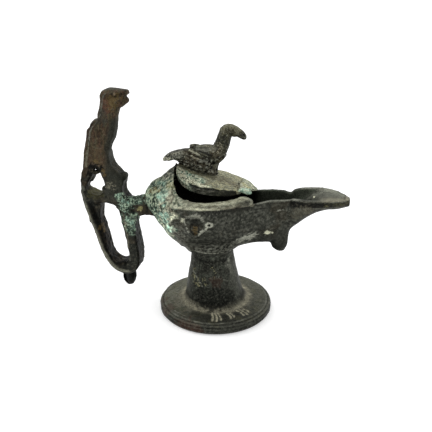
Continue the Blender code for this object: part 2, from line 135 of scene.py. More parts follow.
def slab(shape, outline, near, far):                # prism over an outline in x and z, from y near to far
    face = shape.faces.new([shape.verts.new((x * mm, near * mm, z * mm)) for x, z in outline])
    grown = bmesh.ops.extrude_face_region(shape, geom=[face])["geom"]
    moved = [part for part in grown if isinstance(part, bmesh.types.BMVert)]
    bmesh.ops.translate(shape, verts=moved, vec=(0, (far - near) * mm, 0))
    bmesh.ops.recalc_face_normals(shape, faces=shape.faces)


def creasePoints(shape, angle):  # points along the sharp edges of a frame solid
    found = []
    for edge in shape.edges:
        if len(edge.link_faces) == 2 and edge.calc_face_angle(0) > math.radians(angle):
            start, end = edge.verts[0].co, edge.verts[1].co
            count = max(1, int((end - start).length / (0.6 * mm)))
            found += [start.lerp(end, (i + 0.5) / count) / mm for i in range(count)]
    return found


def castFrom(nodeName, pieceName, sizes, added, cut):  # fine mesh of a frame solid with forms added and cut
    shape = bmesh.new()
    shape.from_mesh(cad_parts[nodeName].data)
    bmesh.ops.remove_doubles(shape, verts=shape.verts, dist=1e-6)
    creases = creasePoints(shape, sizes["crease angle"])
    piece = newPiece(pieceName, shape)
    helpers = []
    for operation, build in (("UNION", added), ("DIFFERENCE", cut)):
        if build:
            forms = bmesh.new()
            build(forms)
            helper = newPiece(pieceName + "_" + operation.lower(), forms)
            helper.hide_render = True
            helpers.append(helper)
            change = piece.modifiers.new(operation.title(), "BOOLEAN")
            change.operation, change.object, change.solver = operation, helper, "EXACT"
            change.use_self = True
    remesh = piece.modifiers.new("Remesh", "REMESH")
    remesh.mode, remesh.voxel_size = "VOXEL", sizes["voxel"] * mm
    freeze(piece)
    for helper in helpers:
        bpy.data.objects.remove(helper)
    return Skin(piece, creases)


class Skin:                      # the points of a piece, as arrays in millimetres, while it is worked
    def __init__(self, piece, creases=()):
        self.piece = piece
        mesh = piece.data
        self.at = np.empty(len(mesh.vertices) * 3)
        mesh.vertices.foreach_get("co", self.at)
        self.at = self.at.reshape(-1, 3) / mm
        ends = np.empty(len(mesh.edges) * 2, int)
        mesh.edges.foreach_get("vertices", ends)
        self.ends = ends.reshape(-1, 2)
        self.degree = np.maximum(np.bincount(ends, minlength=len(self.at)), 1)
        self.creases = creases

    def store(self):
        self.piece.data.vertices.foreach_set("co", (self.at * mm).ravel())
        self.piece.data.update()

    def normals(self):
        self.store()
        facing = np.empty(len(self.at) * 3)
        self.piece.data.vertex_normals.foreach_get("vector", facing)
        return facing.reshape(-1, 3)

    def average(self, values):   # each point's neighbours, averaged
        a, b = self.ends.T
        total = [np.bincount(a, values[b, k], len(values)) + np.bincount(b, values[a, k], len(values))
                 for k in range(values.shape[1])]
        return np.stack(total, 1) / self.degree[:, None]

    def relax(self, rounds, share=0.5):
        share = np.broadcast_to(share, len(self.at))[:, None]
        for _ in range(rounds):
            self.at = self.at + (self.average(self.at) - self.at) * share

    def relaxFlats(self, rounds, near=0.5, reach=1.8):     # smooths facets, keeps the edges
        tree = kdtree.KDTree(len(self.creases))
        for i, p in enumerate(self.creases):
            tree.insert(p, i)
        tree.balance()
        gap = np.array([tree.find(p)[2] for p in self.at])
        self.relax(rounds, 0.5 * ease((gap - near) / reach))

    def push(self, height, along=None):                    # moves points out along their normals
        self.at = self.at + (self.normals() if along is None else along) * np.asarray(height)[:, None]

    def hollows(self, rounds):   # above 0 in hollows, below 0 on crests, in millimetres
        facing = self.normals()
        smooth = self.at
        for _ in range(rounds):
            smooth = smooth + (self.average(smooth) - smooth) * 0.5
        return np.einsum("ij,ij->i", smooth - self.at, facing)

    def paint(self, name, values):
        kind, key = ("FLOAT_COLOR", "color") if values.ndim == 2 else ("FLOAT", "value")
        layer = self.piece.data.attributes.new(name, kind, "POINT")
        if values.ndim == 2:
            values = np.hstack([values, np.ones((len(values), 1))])
        layer.data.foreach_set(key, np.ascontiguousarray(values, dtype=np.float32).ravel())


def lay(coat, cover, colour):    # paints a colour over a coat where cover is above 0
    colour = np.broadcast_to(colour, coat.shape)
    return coat + (colour - coat) * np.clip(cover, 0, 1)[:, None]


tones = {
    "black": tone(14, 15, 13), "dark": tone(38, 39, 34), "grey": tone(66, 67, 60),
    "pale grey": tone(120, 121, 110), "brown": tone(74, 62, 46), "gold brown": tone(104, 88, 56),
    "red brown": tone(92, 62, 50), "olive": tone(96, 94, 66), "deep green": tone(44, 70, 60),
    "verdigris": tone(104, 140, 122), "mint": tone(160, 196, 176), "cream": tone(206, 206, 180),
    "beige": tone(146, 142, 122), "straw": tone(176, 170, 118),
}


def squiggle(points, size, seed):                   # 1 on thin winding lines
    return ease((0.07 - np.abs(mottle(points, size, 2, seed))) / 0.05)


def crustCoat(points, seed):     # corrosion: green in the low places, mint and cream on the high grains
    fine = mottle(points, 0.85, 3, seed)
    middle = mottle(points, 2.6, 4, seed + 4)
    coat = np.tile(tones["verdigris"] * 0.55, (len(points), 1))
    broad = mottle(points, 6.0, 2, seed + 8)
    coat = lay(coat, rise(broad, 0.02, 0.3) * 0.5, tones["beige"] * (0.66, 0.76, 0.72))
    coat = lay(coat, fall(middle, -0.03, 0.2) * 0.5, tones["deep green"] * 0.6)
    coat = lay(coat, rise(middle, 0.04, 0.2) * 0.4, tones["mint"] * 0.75)
    coat = lay(coat, rise(fine, 0.1, 0.2) * 0.3, tones["cream"] * 0.9)
    coat = lay(coat, fall(fine, -0.1, 0.2) * 0.5, tones["deep green"] * 0.35)
    return coat, fine * 0.6 + middle * 0.7


def dab(coat, points, ragged, marks):               # lays (tone, share of it, strength, places) in turn
    for name, light, strength, places in marks:
        coat = lay(coat, spots(points, places, ragged) * strength, tones[name] * light)
    return coat


def line(coat, points, ragged, marks):              # lays (tone, share, strength, half width, path)
    for name, light, strength, width, path in marks:
        cover = ease((width * (1.3 + ragged) - farFrom(points, path)) / (0.6 * width))
        coat = lay(coat, cover * strength, tones[name] * light)
    return coat


# materials

class Wire:                      # a shader socket that takes part in plain expressions
    def __init__(self, finish, socket):
        self.finish, self.socket = finish, socket

    def join(self, operation, first, second):
        return self.finish.node("ShaderNodeMath", {"operation": operation}, {0: first, 1: second})

    def __add__(self, other):
        return self.join("ADD", self, other)

    def __sub__(self, other):
        return self.join("SUBTRACT", self, other)

    def __mul__(self, other):
        return self.join("MULTIPLY", self, other)

    __radd__ = __add__
    __rmul__ = __mul__

    def __rsub__(self, other):
        return self.join("SUBTRACT", other, self)

    def between(self, low, high):            # 0 below low, 1 above high, smooth between
        return self.finish.node("ShaderNodeMapRange", {"interpolation_type": "SMOOTHSTEP"},
                                {"Value": self, "From Min": low, "From Max": high})


class Finish:                    # one material and the nodes added to it
    def __init__(self, name):
        self.material = bpy.data.materials.new(name)
        self.material.use_nodes = True
        self.tree = self.material.node_tree
        self.surface = self.tree.nodes["Principled BSDF"]

    def node(self, kind, settings, sockets, output=0):
        made = self.tree.nodes.new(kind)
        for key, value in settings.items():
            setattr(made, key, value)
        for key, value in sockets.items():
            if isinstance(value, Wire):
                self.tree.links.new(value.socket, made.inputs[key])
            else:
                made.inputs[key].default_value = value
        return Wire(self, made.outputs[output])

    def place(self):
        return self.node("ShaderNodeTexCoord", {}, {}, "Object")

    def cloud(self, size, detail=4.0, rough=0.6, distortion=0.0):      # noise with a grain of size mm
        return self.node("ShaderNodeTexNoise", {}, {"Vector": self.place(), "Scale": 1 / (size * mm),
                         "Detail": detail, "Roughness": rough, "Distortion": distortion})

    def painted(self, name):
        return self.node("ShaderNodeAttribute", {"attribute_name": name}, {}, "Fac")

    def colour(self, name):
        return self.node("ShaderNodeAttribute", {"attribute_name": name}, {}, "Color")

    def mix(self, factor, first, second, blend="MIX"):
        return self.node("ShaderNodeMix", {"data_type": "RGBA", "blend_type": blend},
                         {0: factor, 6: first, 7: second}, 2)

    def wire(self, name, value):
        if isinstance(value, Wire):
            self.tree.links.new(value.socket, self.surface.inputs[name])
        else:
            self.surface.inputs[name].default_value = value


def rgba(colour):
    return (*[float(c) for c in colour], 1.0)


def patina(name, sizes):         # painted coat, broken up by finer grain: duller and paler where crust lies
    metal, gloss, grainSize = sizes["metal"], sizes["gloss"], sizes["grain"]
    finish = Finish(name)
    coat = finish.colour("coat")
    crust = finish.painted("crust")
    fine = finish.cloud(grainSize, 4.0, 0.65)
    coarse = finish.cloud(grainSize * 5, 3.0, 0.55)
    grit = finish.cloud(grainSize * 0.8, 2.0, 0.5, 0.4)
    shade = fine.between(0.3, 0.7) * (crust * 0.4 + 0.8) + coarse.between(0.3, 0.7) * 0.35 + 0.3
    shades = finish.node("ShaderNodeCombineColor", {}, {0: shade, 1: shade, 2: shade})
    shaded = finish.mix(1.0, coat, shades, "MULTIPLY")
    flecks = grit.between(0.58, 0.72) * (crust * 0.22 + 0.03)
    shaded = finish.mix(flecks, shaded, rgba(tones["cream"] * 0.85))
    pits = grit.between(0.42, 0.3) * (crust * 0.2 + 0.5)
    shaded = finish.mix(pits, shaded, rgba(tones["black"] * 0.5))
    finish.wire("Base Color", shaded)
    finish.wire("Metallic", (1.0 - crust) * metal)
    finish.wire("Roughness", crust * (0.9 - gloss) + fine.between(0.3, 0.75) * 0.14 + (gloss - 0.06))
    bump = finish.node("ShaderNodeBump", {}, {"Strength": 0.55, "Distance": 0.14 * mm,
                       "Height": fine * (crust * 0.9 + 0.5) + coarse * 0.4 - pits * 0.5})
    finish.wire("Normal", bump)
    finish.wire("Specular IOR Level", 0.3)
    finish.wire("Specular Tint", (0.6, 0.6, 0.6, 1))
    return finish.material


# the foot
footSizes = {
    "turn steps": 480, "groove radius": 28.3, "groove width": 0.45, "groove depth": 0.35, "top rise": 0.95,
    "turning lines": 0.03, "unevenness": 0.22, "fine unevenness": 0.07, "chip depth": 0.035,
    "stem lean": -1.8, "stroke depth": 0.3, "lump height": 0.22, "pit depth": 0.1,
    "metal": 0.9, "gloss": 0.4, "grain": 0.4,
}


def footProfile(high):           # radius and height from the stem's top to the middle of the underside
    radius, top = high[0] / mm, high[2] / mm + footSizes["top rise"]     # rises to the collar above
    rough = [(10.9, top), (11.15, 31.9), (12.1, 25.7), (13.45, 18.9), (14.55, 12.9), (15.4, 8.9),
             (16.0, 7.6), (17.0, 6.75), (19.0, 6.25), (radius - 4.6, 5.75), (radius - 3.2, 5.6),
             (radius - 1.4, 5.25), (radius - 0.45, 4.6), (radius, 3.2), (radius - 0.15, 1.2),
             (radius - 0.9, 0.25), (radius - 1.3, 0.0)]
    fine = []
    for (r0, z0), (r1, z1) in zip(rough, rough[1:]):
        steps = max(1, round(math.hypot(r1 - r0, z1 - z0) / 0.3))
        fine += [(r0 + (r1 - r0) * i / steps, z0 + (z1 - z0) * i / steps) for i in range(steps)]
    return [(0, top), (6, top)] + fine + [(radius - 1.3, 0.0), (22, 0), (10, 0), (0, 0)]


def buildFoot():
    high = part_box("pedestal_foot")[1]
    shape = bmesh.new()
    ring = [shape.verts.new((r * mm, 0, z * mm)) for r, z in footProfile(high)]
    for a, b in zip(ring, ring[1:]):
        shape.edges.new((a, b))
    bmesh.ops.spin(shape, geom=shape.verts[:] + shape.edges[:], cent=(0, 0, 0), axis=(0, 0, 1),
                   angle=2 * math.pi, steps=footSizes["turn steps"], use_merge=True)
    bmesh.ops.remove_doubles(shape, verts=shape.verts, dist=1e-6)
    bmesh.ops.recalc_face_normals(shape, faces=shape.faces)
    skin = Skin(newPiece("turnedFoot", shape))
    facing = skin.normals()
    across = np.hypot(skin.at[:, 0], skin.at[:, 1])
    height = skin.at[:, 2]
    upper = rise(height, 0.3, 0.8)
    onDisc = rise(across, 18.5, 1.5) * (facing[:, 2] > 0.3)
    wobble = 0.2 * mottle(skin.at, 14, 2, 3)
    sink = bell(across + wobble, footSizes["groove radius"], footSizes["groove width"])
    skin.push(-sink * footSizes["groove depth"] * onDisc, facing)
    lines = footSizes["turning lines"] * np.sin(across * 7.0) * onDisc
    uneven = (footSizes["unevenness"] * mottle(skin.at, 9, 3, 1)
              + footSizes["fine unevenness"] * mottle(skin.at, 1.3, 3, 2))
    skin.push((lines + uneven) * upper, facing)
    chip = spots(skin.at, [(-19.3, 24.6, 3.5, 3.4), (-14.5, 27.2, 4.6, 1.8)], mottle(skin.at, 2, 3, 5))
    skin.at[:, :2] *= (1 - footSizes["chip depth"] * chip)[:, None]
    lift = np.maximum(skin.at[:, 2] - 6, 0) / (high[2] / mm - 6)
    skin.at[:, 0] += footSizes["stem lean"] * np.sqrt(lift)
    return skin


strokes = [                      # shallow cuts on the disc, three groups: angle and radius, start and end
    (-86, 19.2, -84, 25.0), (-81, 18.8, -79, 25.4), (-76, 19.2, -74, 24.6),
    (-63, 19.6, -61, 24.2), (-58, 19.8, -56.5, 23.4),
    (-45.5, 19.2, -44, 24.6), (-40.5, 19.4, -39, 25.0), (-35.5, 19.8, -34, 24.0),
]
footMarks = [                    # tone, share of it, strength, places (x, y, z, reach)
    ("beige", 0.55, 0.5, [(-18, -9, 6.2, 3.4), (-17.5, -12, 6.2, 3.0), (-19, -4, 6.2, 3.0),
                          (-11, -16.5, 6.2, 2.6)]),
    # painted reflection of the stem on the disc's front
    ("black", 2.0, 0.2, [(-3, -21, 6, 3.4), (-7, -20.5, 6, 3.0), (0.5, -23.6, 6, 2.6)]),
    ("red brown", 0.6, 0.55, [(-11.8, -27.8, 2, 5.0), (-5.5, -29.8, 2, 4.0), (-23, -16.5, 5, 4.0),
                              (-27.5, -8, 5, 3.0)]),
    ("black", 1.2, 0.8, [(2.2, -14.5, 11.7, 6.0), (-5, -14, 12, 5.0), (9, -12, 12, 4.0)]),
    ("red brown", 0.36, 0.5, [(1.0, -12.8, 22.6, 2.0), (4.2, -12.0, 21.8, 2.0), (2.6, -12.7, 20.0, 2.4)]),
    # painted highlight on the stem's right side
    ("pale grey", 0.9, 0.35, [(8.4, -6.4, 31.6, 1.5), (8.2, -7.0, 29.4, 2.1), (9.0, -6.6, 26.8, 1.8),
                              (9.6, -6.4, 24.6, 1.2)]),
    ("pale grey", 1.3, 0.5, [(8.4, -6.2, 32.2, 0.9), (8.4, -6.6, 30.6, 1.0), (8.2, -7.0, 29.0, 0.8)]),
]
footLines = [                    # tone, share of it, strength, half width, path
    ("pale grey", 1.0, 0.7, 0.32, [(-11.5, -7.0, 26.7), (-9.5, -9.7, 24.0), (-7.2, -11.8, 21.1),
                                   (-4.5, -13.2, 18.3)]),
    ("pale grey", 0.9, 0.5, 0.3, [(-10.6, -5.4, 33), (-10.6, -6.8, 28)]),
    ("pale grey", 0.8, 0.4, 0.3, [(2.0, -12.4, 24), (6.4, -10.6, 21.6), (9.4, -8.4, 20.2)]),
    ("pale grey", 1.2, 0.6, 0.3, [(-19.6, -17.6, 5.4), (-16.2, -20.0, 5.4), (-12, -22.6, 5.4)]),
]


def strokeGap(at):               # distance to the nearest stroke, measured as seen from above
    flat = np.column_stack([at[:, 0], at[:, 1], np.full(len(at), 6.0)])
    nearest = np.full(len(at), 9.0)
    for a0, r0, a1, r1 in strokes:
        path = []
        for share in (0, 0.25, 0.5, 0.75, 1):
            angle = math.radians(a0 + (a1 - a0) * share + 1.4 * math.sin(math.pi * share))
            r = r0 + (r1 - r0) * share
            path.append((r * math.cos(angle), r * math.sin(angle), 6.0))
        nearest = np.minimum(nearest, farFrom(flat, path))
    return nearest


def finishFoot(skin):
    at = skin.at
    facing = skin.normals()
    around = np.degrees(np.arctan2(at[:, 1], at[:, 0]))
    across = np.hypot(at[:, 0], at[:, 1])
    top = facing[:, 2] > 0.5
    stroke = fall(strokeGap(at), 0.66, 0.25) * top
    skin.push(-footSizes["stroke depth"] * stroke, facing)
    onStem = rise(at[:, 2], 9, 2) * (at[:, 2] < 34.5)
    grit = mottle(at, 0.9, 2, 12)
    lumps = spots(at, [(-10.2, -9.6, 22.6, 1.8), (-8.6, -11.2, 20.4, 2.2), (-7.2, -12.0, 18.6, 1.6),
                       (-9.8, -9.4, 26.0, 1.2), (-4.0, -12.8, 22.2, 1.2), (0.5, -11.9, 28.6, 1.1),
                       (1.4, -12.1, 26.4, 1.0), (1.1, -12.6, 23.6, 0.9), (-3.0, -13.4, 19.6, 0.8)],
                  mottle(at, 1.2, 3, 11))
    lumps = lumps * rise(grit, 0.02, 0.2)
    pits = onStem * fall(grit, -0.2, 0.2)
    skin.push(lumps * footSizes["lump height"] - footSizes["pit depth"] * pits, facing)
    hollow = skin.hollows(6)
    fine = mottle(at, 1.0, 3, 29)
    upright = mottle(at * np.array((1, 1, 0.3)), 1.5, 3, 20)
    coat = np.tile(tones["dark"] * 0.95, (len(at), 1))
    coat = lay(coat, rise(mottle(at, 8, 3, 21), -0.1, 0.4) * 0.35, tones["grey"] * 0.9)
    # painted reflection: the disc is darkest in front, paler all the way round to the back
    disc = rise(across, 18, 2) * (at[:, 2] < 7.5) * top
    light = np.interp(around, (-180, -150, -120, -90, -62, -45, -22, 20, 120, 180),
                      (3.4, 2.8, 1.35, 0.65, 0.42, 0.45, 1.6, 1.8, 3.0, 3.4))
    coat = lay(coat, disc * 0.75, tones["grey"] * (1.0, 0.98, 0.9) * light[:, None])
    coat = lay(coat, disc * rise(mottle(at, 4, 3, 22), 0.02, 0.3) * 0.4, tones["olive"] * 0.6)
    coat = lay(coat, disc * rise(mottle(at, 2, 3, 30), 0.1, 0.3) * 0.35, tones["black"] * 1.2)
    # the stem is streaked upright, with a painted reflection greyer on its sides and painted shade dark
    # under the collar
    coat = lay(coat, onStem * rise(upright, -0.05, 0.3) * 0.5, tones["grey"] * (0.95, 1.05, 1.0))
    coat = lay(coat, onStem * fall(upright, -0.05, 0.3) * 0.5, tones["black"] * 1.4)
    sides = ease((np.abs(around + 90) - 38) / 28) * onStem
    coat = lay(coat, sides * 0.6, tones["grey"] * 1.45)
    neck = bell(at[:, 2], 32.2, 2.6)
    coat = lay(coat, neck * 0.8 * ease(0.8 + 1.5 * mottle(at, 4, 2, 19)), tones["black"] * 1.2)
    # dirt in the fillet below the stem, then marks, groove, strokes and grains, and painted highlights on
    # the crests
    fillet = bell(across, 17.8, 1.7) * (at[:, 2] < 9.2)
    coat = lay(coat, fillet * np.clip(0.8 + 0.5 * mottle(at, 3.0, 3, 23), 0.5, 0.95), tones["beige"] * 1.15)
    coat = dab(coat, at, mottle(at, 2.2, 3, 25), footMarks)
    # painted highlight on the crest beside the groove
    crest = bell(across - footSizes["groove radius"], -0.75, 0.35) * top
    coat = lay(coat, crest * np.clip(0.5 + 1.2 * mottle(at, 5, 2, 24), 0.1, 0.8), tones["pale grey"])
    groove = bell(across, footSizes["groove radius"], 0.35) * top
    coat = lay(coat, groove * 0.6, tones["black"])
    coat = lay(coat, lumps * 0.8, tones["straw"] * 0.5)
    coat = line(coat, at, fine * 2.0, footLines)
    coat = lay(coat, stroke * 0.95 * ease(1.1 + fine), tones["beige"] * 1.15)
    coat = lay(coat, rise(fine, 0.3, 0.2) * 0.2, tones["pale grey"])
    coat = lay(coat, fall(fine, -0.2, 0.2) * 0.3, tones["black"])
    # painted highlight on the crests
    coat = lay(coat, ease(-hollow / 0.05) * 0.3, tones["pale grey"] * 0.9)
    skin.store()
    skin.paint("coat", coat)
    skin.paint("crust", np.clip(lumps + stroke * 0.8 + fillet * 0.6 + disc * 0.35, 0, 1))


# the bowl, hood and spout
bodySizes = {
    "voxel": 0.465, "crease angle": 32, "flat rounds": 60, "corner": (-13.6, -13.8), "corner radius": 3.8,
    "unevenness": 0.2, "crust height": 0.12, "crust grains": 0.3, "chip depth": 0.4, "scratch depth": 0.09,
    "far rim raised": 0.8, "sag behind": 2.4, "sag in front": 0.9, "ridge sunk": 0.85, "flank sunk": 0.6,
    "keel swollen": 0.45, "back swollen": 0.4, "lug forward": 0.4, "lug lowered": 0.45,
    "mouth lowered": 0.5, "band end lowered": 2.0, "metal": 0.9, "gloss": 0.42, "grain": 0.45,
}


def bodyAdded(forms):            # worn lump at the end of each rim band, and the heavy tip
    ball(forms, (16.2, -11.7, 65.9), (4.4, 3.3, 2.5), 4)
    ball(forms, (15.0, 11.7, 64.6), (3.8, 3.2, 2.1), 4)
    ball(forms, (62.6, 0, 64.4), (3.2, 3.6, 1.3))                       # thicker end of the spout


def bodyCut(forms):              # small drilled hole beside the shield, and the corner of the opening
    rod(forms, (0.6, -23, 55.6), (0.2, -18.6, 55.2), 0.55, 0.45)
    cornerX, cornerY = bodySizes["corner"]
    radius = bodySizes["corner radius"]
    rod(forms, (cornerX, cornerY, 66.4), (cornerX, cornerY, 78), radius, radius)


bodyCrustAndShade = [                    # tone, share of it, strength, places (x, y, z, reach)
    ("grey", 1.35, 0.85, [(-20.3, -6, 77.6, 4.6), (-23, -5, 75.6, 3.8), (-20.3, 5, 78, 4.6),
                          (-25, 4, 74.5, 4.2), (-26.4, -4, 73.6, 2.4)]),
    ("verdigris", 0.75, 0.6, [(-22, -12, 71.6, 4.0), (-24.5, -13, 69.2, 3.0), (-22, 12, 71.6, 4.0)]),
    ("mint", 0.75, 0.7, [(-27.6, -7, 71.3, 1.7), (-25.2, -8.9, 71.9, 1.5), (-30, 6, 69.5, 2.4)]),
    ("deep green", 0.6, 0.9, [(-32, -3.8, 68.8, 2.8), (-30.4, -6.4, 69.8, 2.0), (-28, -8.6, 70.2, 1.5),
                              (-25.6, -10.6, 70.6, 1.1), (-33, 4, 67, 3.0)]),
    ("gold brown", 1.35, 0.9, [(-28.7, -10.4, 68.1, 2.1), (-31, -8.4, 67.2, 2.0),
                               (-26.4, -11.8, 68.6, 1.3)]),
    ("straw", 0.6, 0.65, [(-19.6, -13.8, 71.9, 2.2), (-21.4, -12.2, 73, 1.8), (-19.4, 14, 71.9, 2.4)]),
    ("mint", 0.7, 0.5, [(-21.4, -15.8, 68.8, 2.6), (-24, -14.6, 68, 2.0)]),
    ("beige", 1.2, 0.8, [(-19.2, -18, 67.3, 2.3), (-21.4, -16.6, 68.2, 1.8), (-19.6, -16, 69.6, 1.6),
                         (-19.4, 17.6, 67.6, 2.4)]),
    ("mint", 1.05, 0.85, [(-24.2, -16.1, 66.3, 1.9), (-25.8, -14.4, 67.4, 1.6), (-22.4, -15.8, 68.6, 1.6),
                          (-22.6, -18.4, 63.8, 1.2)]),
    ("deep green", 0.3, 0.95, [(-28.8, -14.2, 64.2, 2.3), (-27.4, -15.6, 62.0, 2.0),
                               (-24.4, -17.9, 62.2, 1.4), (-26.2, -16.8, 60.6, 1.5),
                               (-25.1, -16, 55.1, 1.4), (-27.8, -15.2, 58.2, 1.9),
                               (-23.4, -15.4, 51.6, 1.5), (-29.8, -13.2, 60.4, 1.9), (-27, 16, 59, 3.0)]),
    # painted shade along the lower left contour
    ("black", 1.6, 0.75, [(-30.6, -9.6, 59.6, 1.9), (-28.4, -11.4, 55.6, 1.9), (-25.6, -11.6, 51.0, 1.7),
                          (-22.6, -11.4, 46.8, 1.4)]),
    ("mint", 1.15, 0.85, [(-20.4, -17.7, 52.6, 2.0), (-21.8, -17.9, 55.8, 1.9), (-21.4, -18.9, 58.8, 1.7),
                          (-19.2, -17, 49.8, 1.5), (-24.2, -17.6, 58.6, 1.2)]),
    ("cream", 1.0, 0.75, [(-16.2, -20.9, 60.4, 1.2), (-17.6, -20.4, 58.8, 1.2), (-18.6, -19.6, 57, 1.0),
                          (-19.4, -18.9, 54.4, 1.0), (-25.4, -16.6, 64.8, 0.9),
                          (-18.2, -18.4, 51.6, 0.8)]),
    ("red brown", 0.7, 0.6, [(-19.4, -20.1, 62.8, 1.2), (-18.2, -20.4, 61.8, 0.9)]),
    ("cream", 1.0, 0.5, [(-34, -6, 62.5, 1.2), (-33.2, -7.6, 65.3, 1.4)]),
]
bodyMarks = [
    ("pale grey", 1.8, 0.9, [(20.4, -7.4, 46.6, 1.8), (18.2, -8.2, 45.8, 2.2), (16, -8.8, 45, 2.2),
                             (13.5, -9.8, 43.6, 1.9), (11, -11, 41.9, 1.5)]),
    ("cream", 1.0, 0.9, [(27.0, -6.4, 48.5, 1.0), (28.4, -6.2, 48.2, 1.2), (29.6, -6.0, 48.1, 0.8)]),
    ("pale grey", 1.3, 0.7, [(26.6, -6.4, 46.6, 0.5), (28.4, -6.0, 46.4, 0.5), (21.6, -9, 49.6, 0.6)]),
    ("pale grey", 1.9, 0.85, [(-1.4, -20.2, 53.7, 1.0), (-2.2, -20.8, 53.0, 1.1),
                              (-3.1, -20.8, 52.0, 1.0), (-4.0, -20.4, 51.0, 0.8),
                              (-4.8, -20.2, 50.2, 0.5)]),
    ("cream", 0.9, 0.8, [(3.2, -19.9, 57.4, 0.4), (4.0, -19.8, 57.0, 0.35), (4.4, -19.4, 55.8, 0.35),
                         (-12.6, -21.2, 58.4, 0.8), (-13.2, -21.2, 57.2, 0.7)]),
    ("black", 1.0, 0.75, [(-6.1, -22.3, 57.2, 2.3), (-6.3, -21.2, 55, 1.6)]),
    ("gold brown", 0.75, 0.8, [(-6.7, -19.8, 52.4, 1.3), (-6.6, -20.2, 53.8, 1.2),
                               (-6.7, -19.6, 51.2, 1.0)]),
    ("beige", 0.45, 0.4, [(42, -9.4, 61, 3.0), (40, -8, 58.4, 2.4), (46, -9.6, 62.6, 2.6)]),
]
bodyLines = [                    # tone, share of it, strength, half width, path
    ("pale grey", 1.4, 0.8, 0.8, [(-10.3, -21.5, 59.5), (-8.4, -21.8, 60.4), (-6.2, -21.8, 60.8),
                                  (-4.2, -21.5, 60.4), (-2.8, -21, 59.0)]),
    ("pale grey", 1.5, 0.8, 0.42, [(-12.8, -21.2, 57.6), (-11.2, -21.4, 56.6), (-10.5, -21.5, 54),
                                   (-9.4, -19.8, 50.4)]),
    ("pale grey", 1.3, 0.6, 0.35, [(-13, -21.2, 58.6), (-11.4, -21.4, 57.2)]),
    ("black", 1.0, 0.6, 0.35, [(-10.2, -21.4, 57.6), (-9.6, -21.2, 54), (-7.6, -19.6, 50.4)]),
    ("grey", 1.5, 0.6, 0.3, [(18.6, -11.5, 61.6), (22, -10.2, 62.4), (26, -8.8, 62.9)]),
    ("black", 1.2, 0.6, 0.3, [(18.4, -11.7, 60.8), (22, -10.1, 61.6), (26.4, -8.7, 62.2)]),
    ("grey", 1.5, 0.6, 0.3, [(18.2, -11.8, 60.1), (22, -10, 60.8), (26.5, -8.5, 61.5)]),
    ("black", 1.2, 0.6, 0.3, [(18.4, -11.6, 59.3), (22, -10, 60), (26, -8.7, 60.8)]),
    ("grey", 1.5, 0.5, 0.3, [(18.6, -11.3, 58.6), (22, -10, 59.2), (25.5, -8.8, 60.2)]),
    ("pale grey", 1.2, 0.7, 0.4, [(31.6, -7.6, 60.5), (34.6, -7.2, 61.1)]),
    ("pale grey", 0.9, 0.5, 0.3, [(6, -18.6, 50), (12, -14.6, 47.6), (17, -11, 46.8)]),
]
bodyScratches = [                # long scratches on the near side: from, to
    [(20, -10.6, 60.2), (31, -8.0, 63.4)], [(17, -12.2, 58), (29, -8.6, 61.4)],
    [(13, -15, 60.6), (24, -10, 63.2)], [(8, -18.6, 50), (15, -12, 47.4)],
    [(-2, -19.6, 60), (9, -18.4, 56.6)],
]
rimBand = [                      # middle of the band round the opening, near side
    (-18, -15.5, 65), (-12, -18.3, 64.9), (-5, -19.6, 64.8), (2, -18.6, 64.9),
    (9, -15.4, 65.2), (14, -12.8, 65.6), (18.5, -10.9, 65.6),
]


def keepCorner(skin):            # the cut corner's edge is kept sharp as well
    cornerX, cornerY = bodySizes["corner"]
    radius = bodySizes["corner radius"]
    turns = np.radians(np.linspace(165, 285, 20))
    skin.creases += [Vector((cornerX + radius * math.cos(t), cornerY + radius * math.sin(t),
                             72.6 - 2.7 * (t - turns[0]))) for t in turns]


def bodyZones(at, facing):       # where the inside, the crust, the hood's ridge and the rim band lie
    x, y, z = at.T
    outward = np.column_stack([np.zeros(len(at)), y, (z - 58) * (z < 58)])
    inner = (np.einsum("ij,ij->i", outward, facing) < 0) & (z < 66) & (x < 46)
    edge = np.interp(z, (36, 44, 49, 52.5, 56, 60, 63, 65, 72),
                     (-20, -16, -17, -18.6, -17.2, -15.2, -14, -8, -12))
    edge = edge + 5 * mottle(at, 4, 4, 31)              # the crust lies behind this ragged line
    back = ease((edge - x) / 5 + 0.3 * mottle(at, 1.2, 2, 38)) * ~inner
    mirrored = np.column_stack([x, -np.abs(y), z])
    toBand = farFrom(mirrored, rimBand)
    toUnder = farFrom(mirrored, [(px, py - 1.6, 62.7) for px, py, _ in rimBand])
    return {"inner": inner, "outer": ~inner, "back": back, "to band": toBand,
            "ridge": fall(x, -17, 3) * rise(z, 70, 3) * fall(np.abs(y), 8, 4),
            "band": fall(toBand, 3.3, 1.0) * (z > 63.4) * ~inner,
            "under": fall(toUnder, 1.5, 1.2) * ~inner}


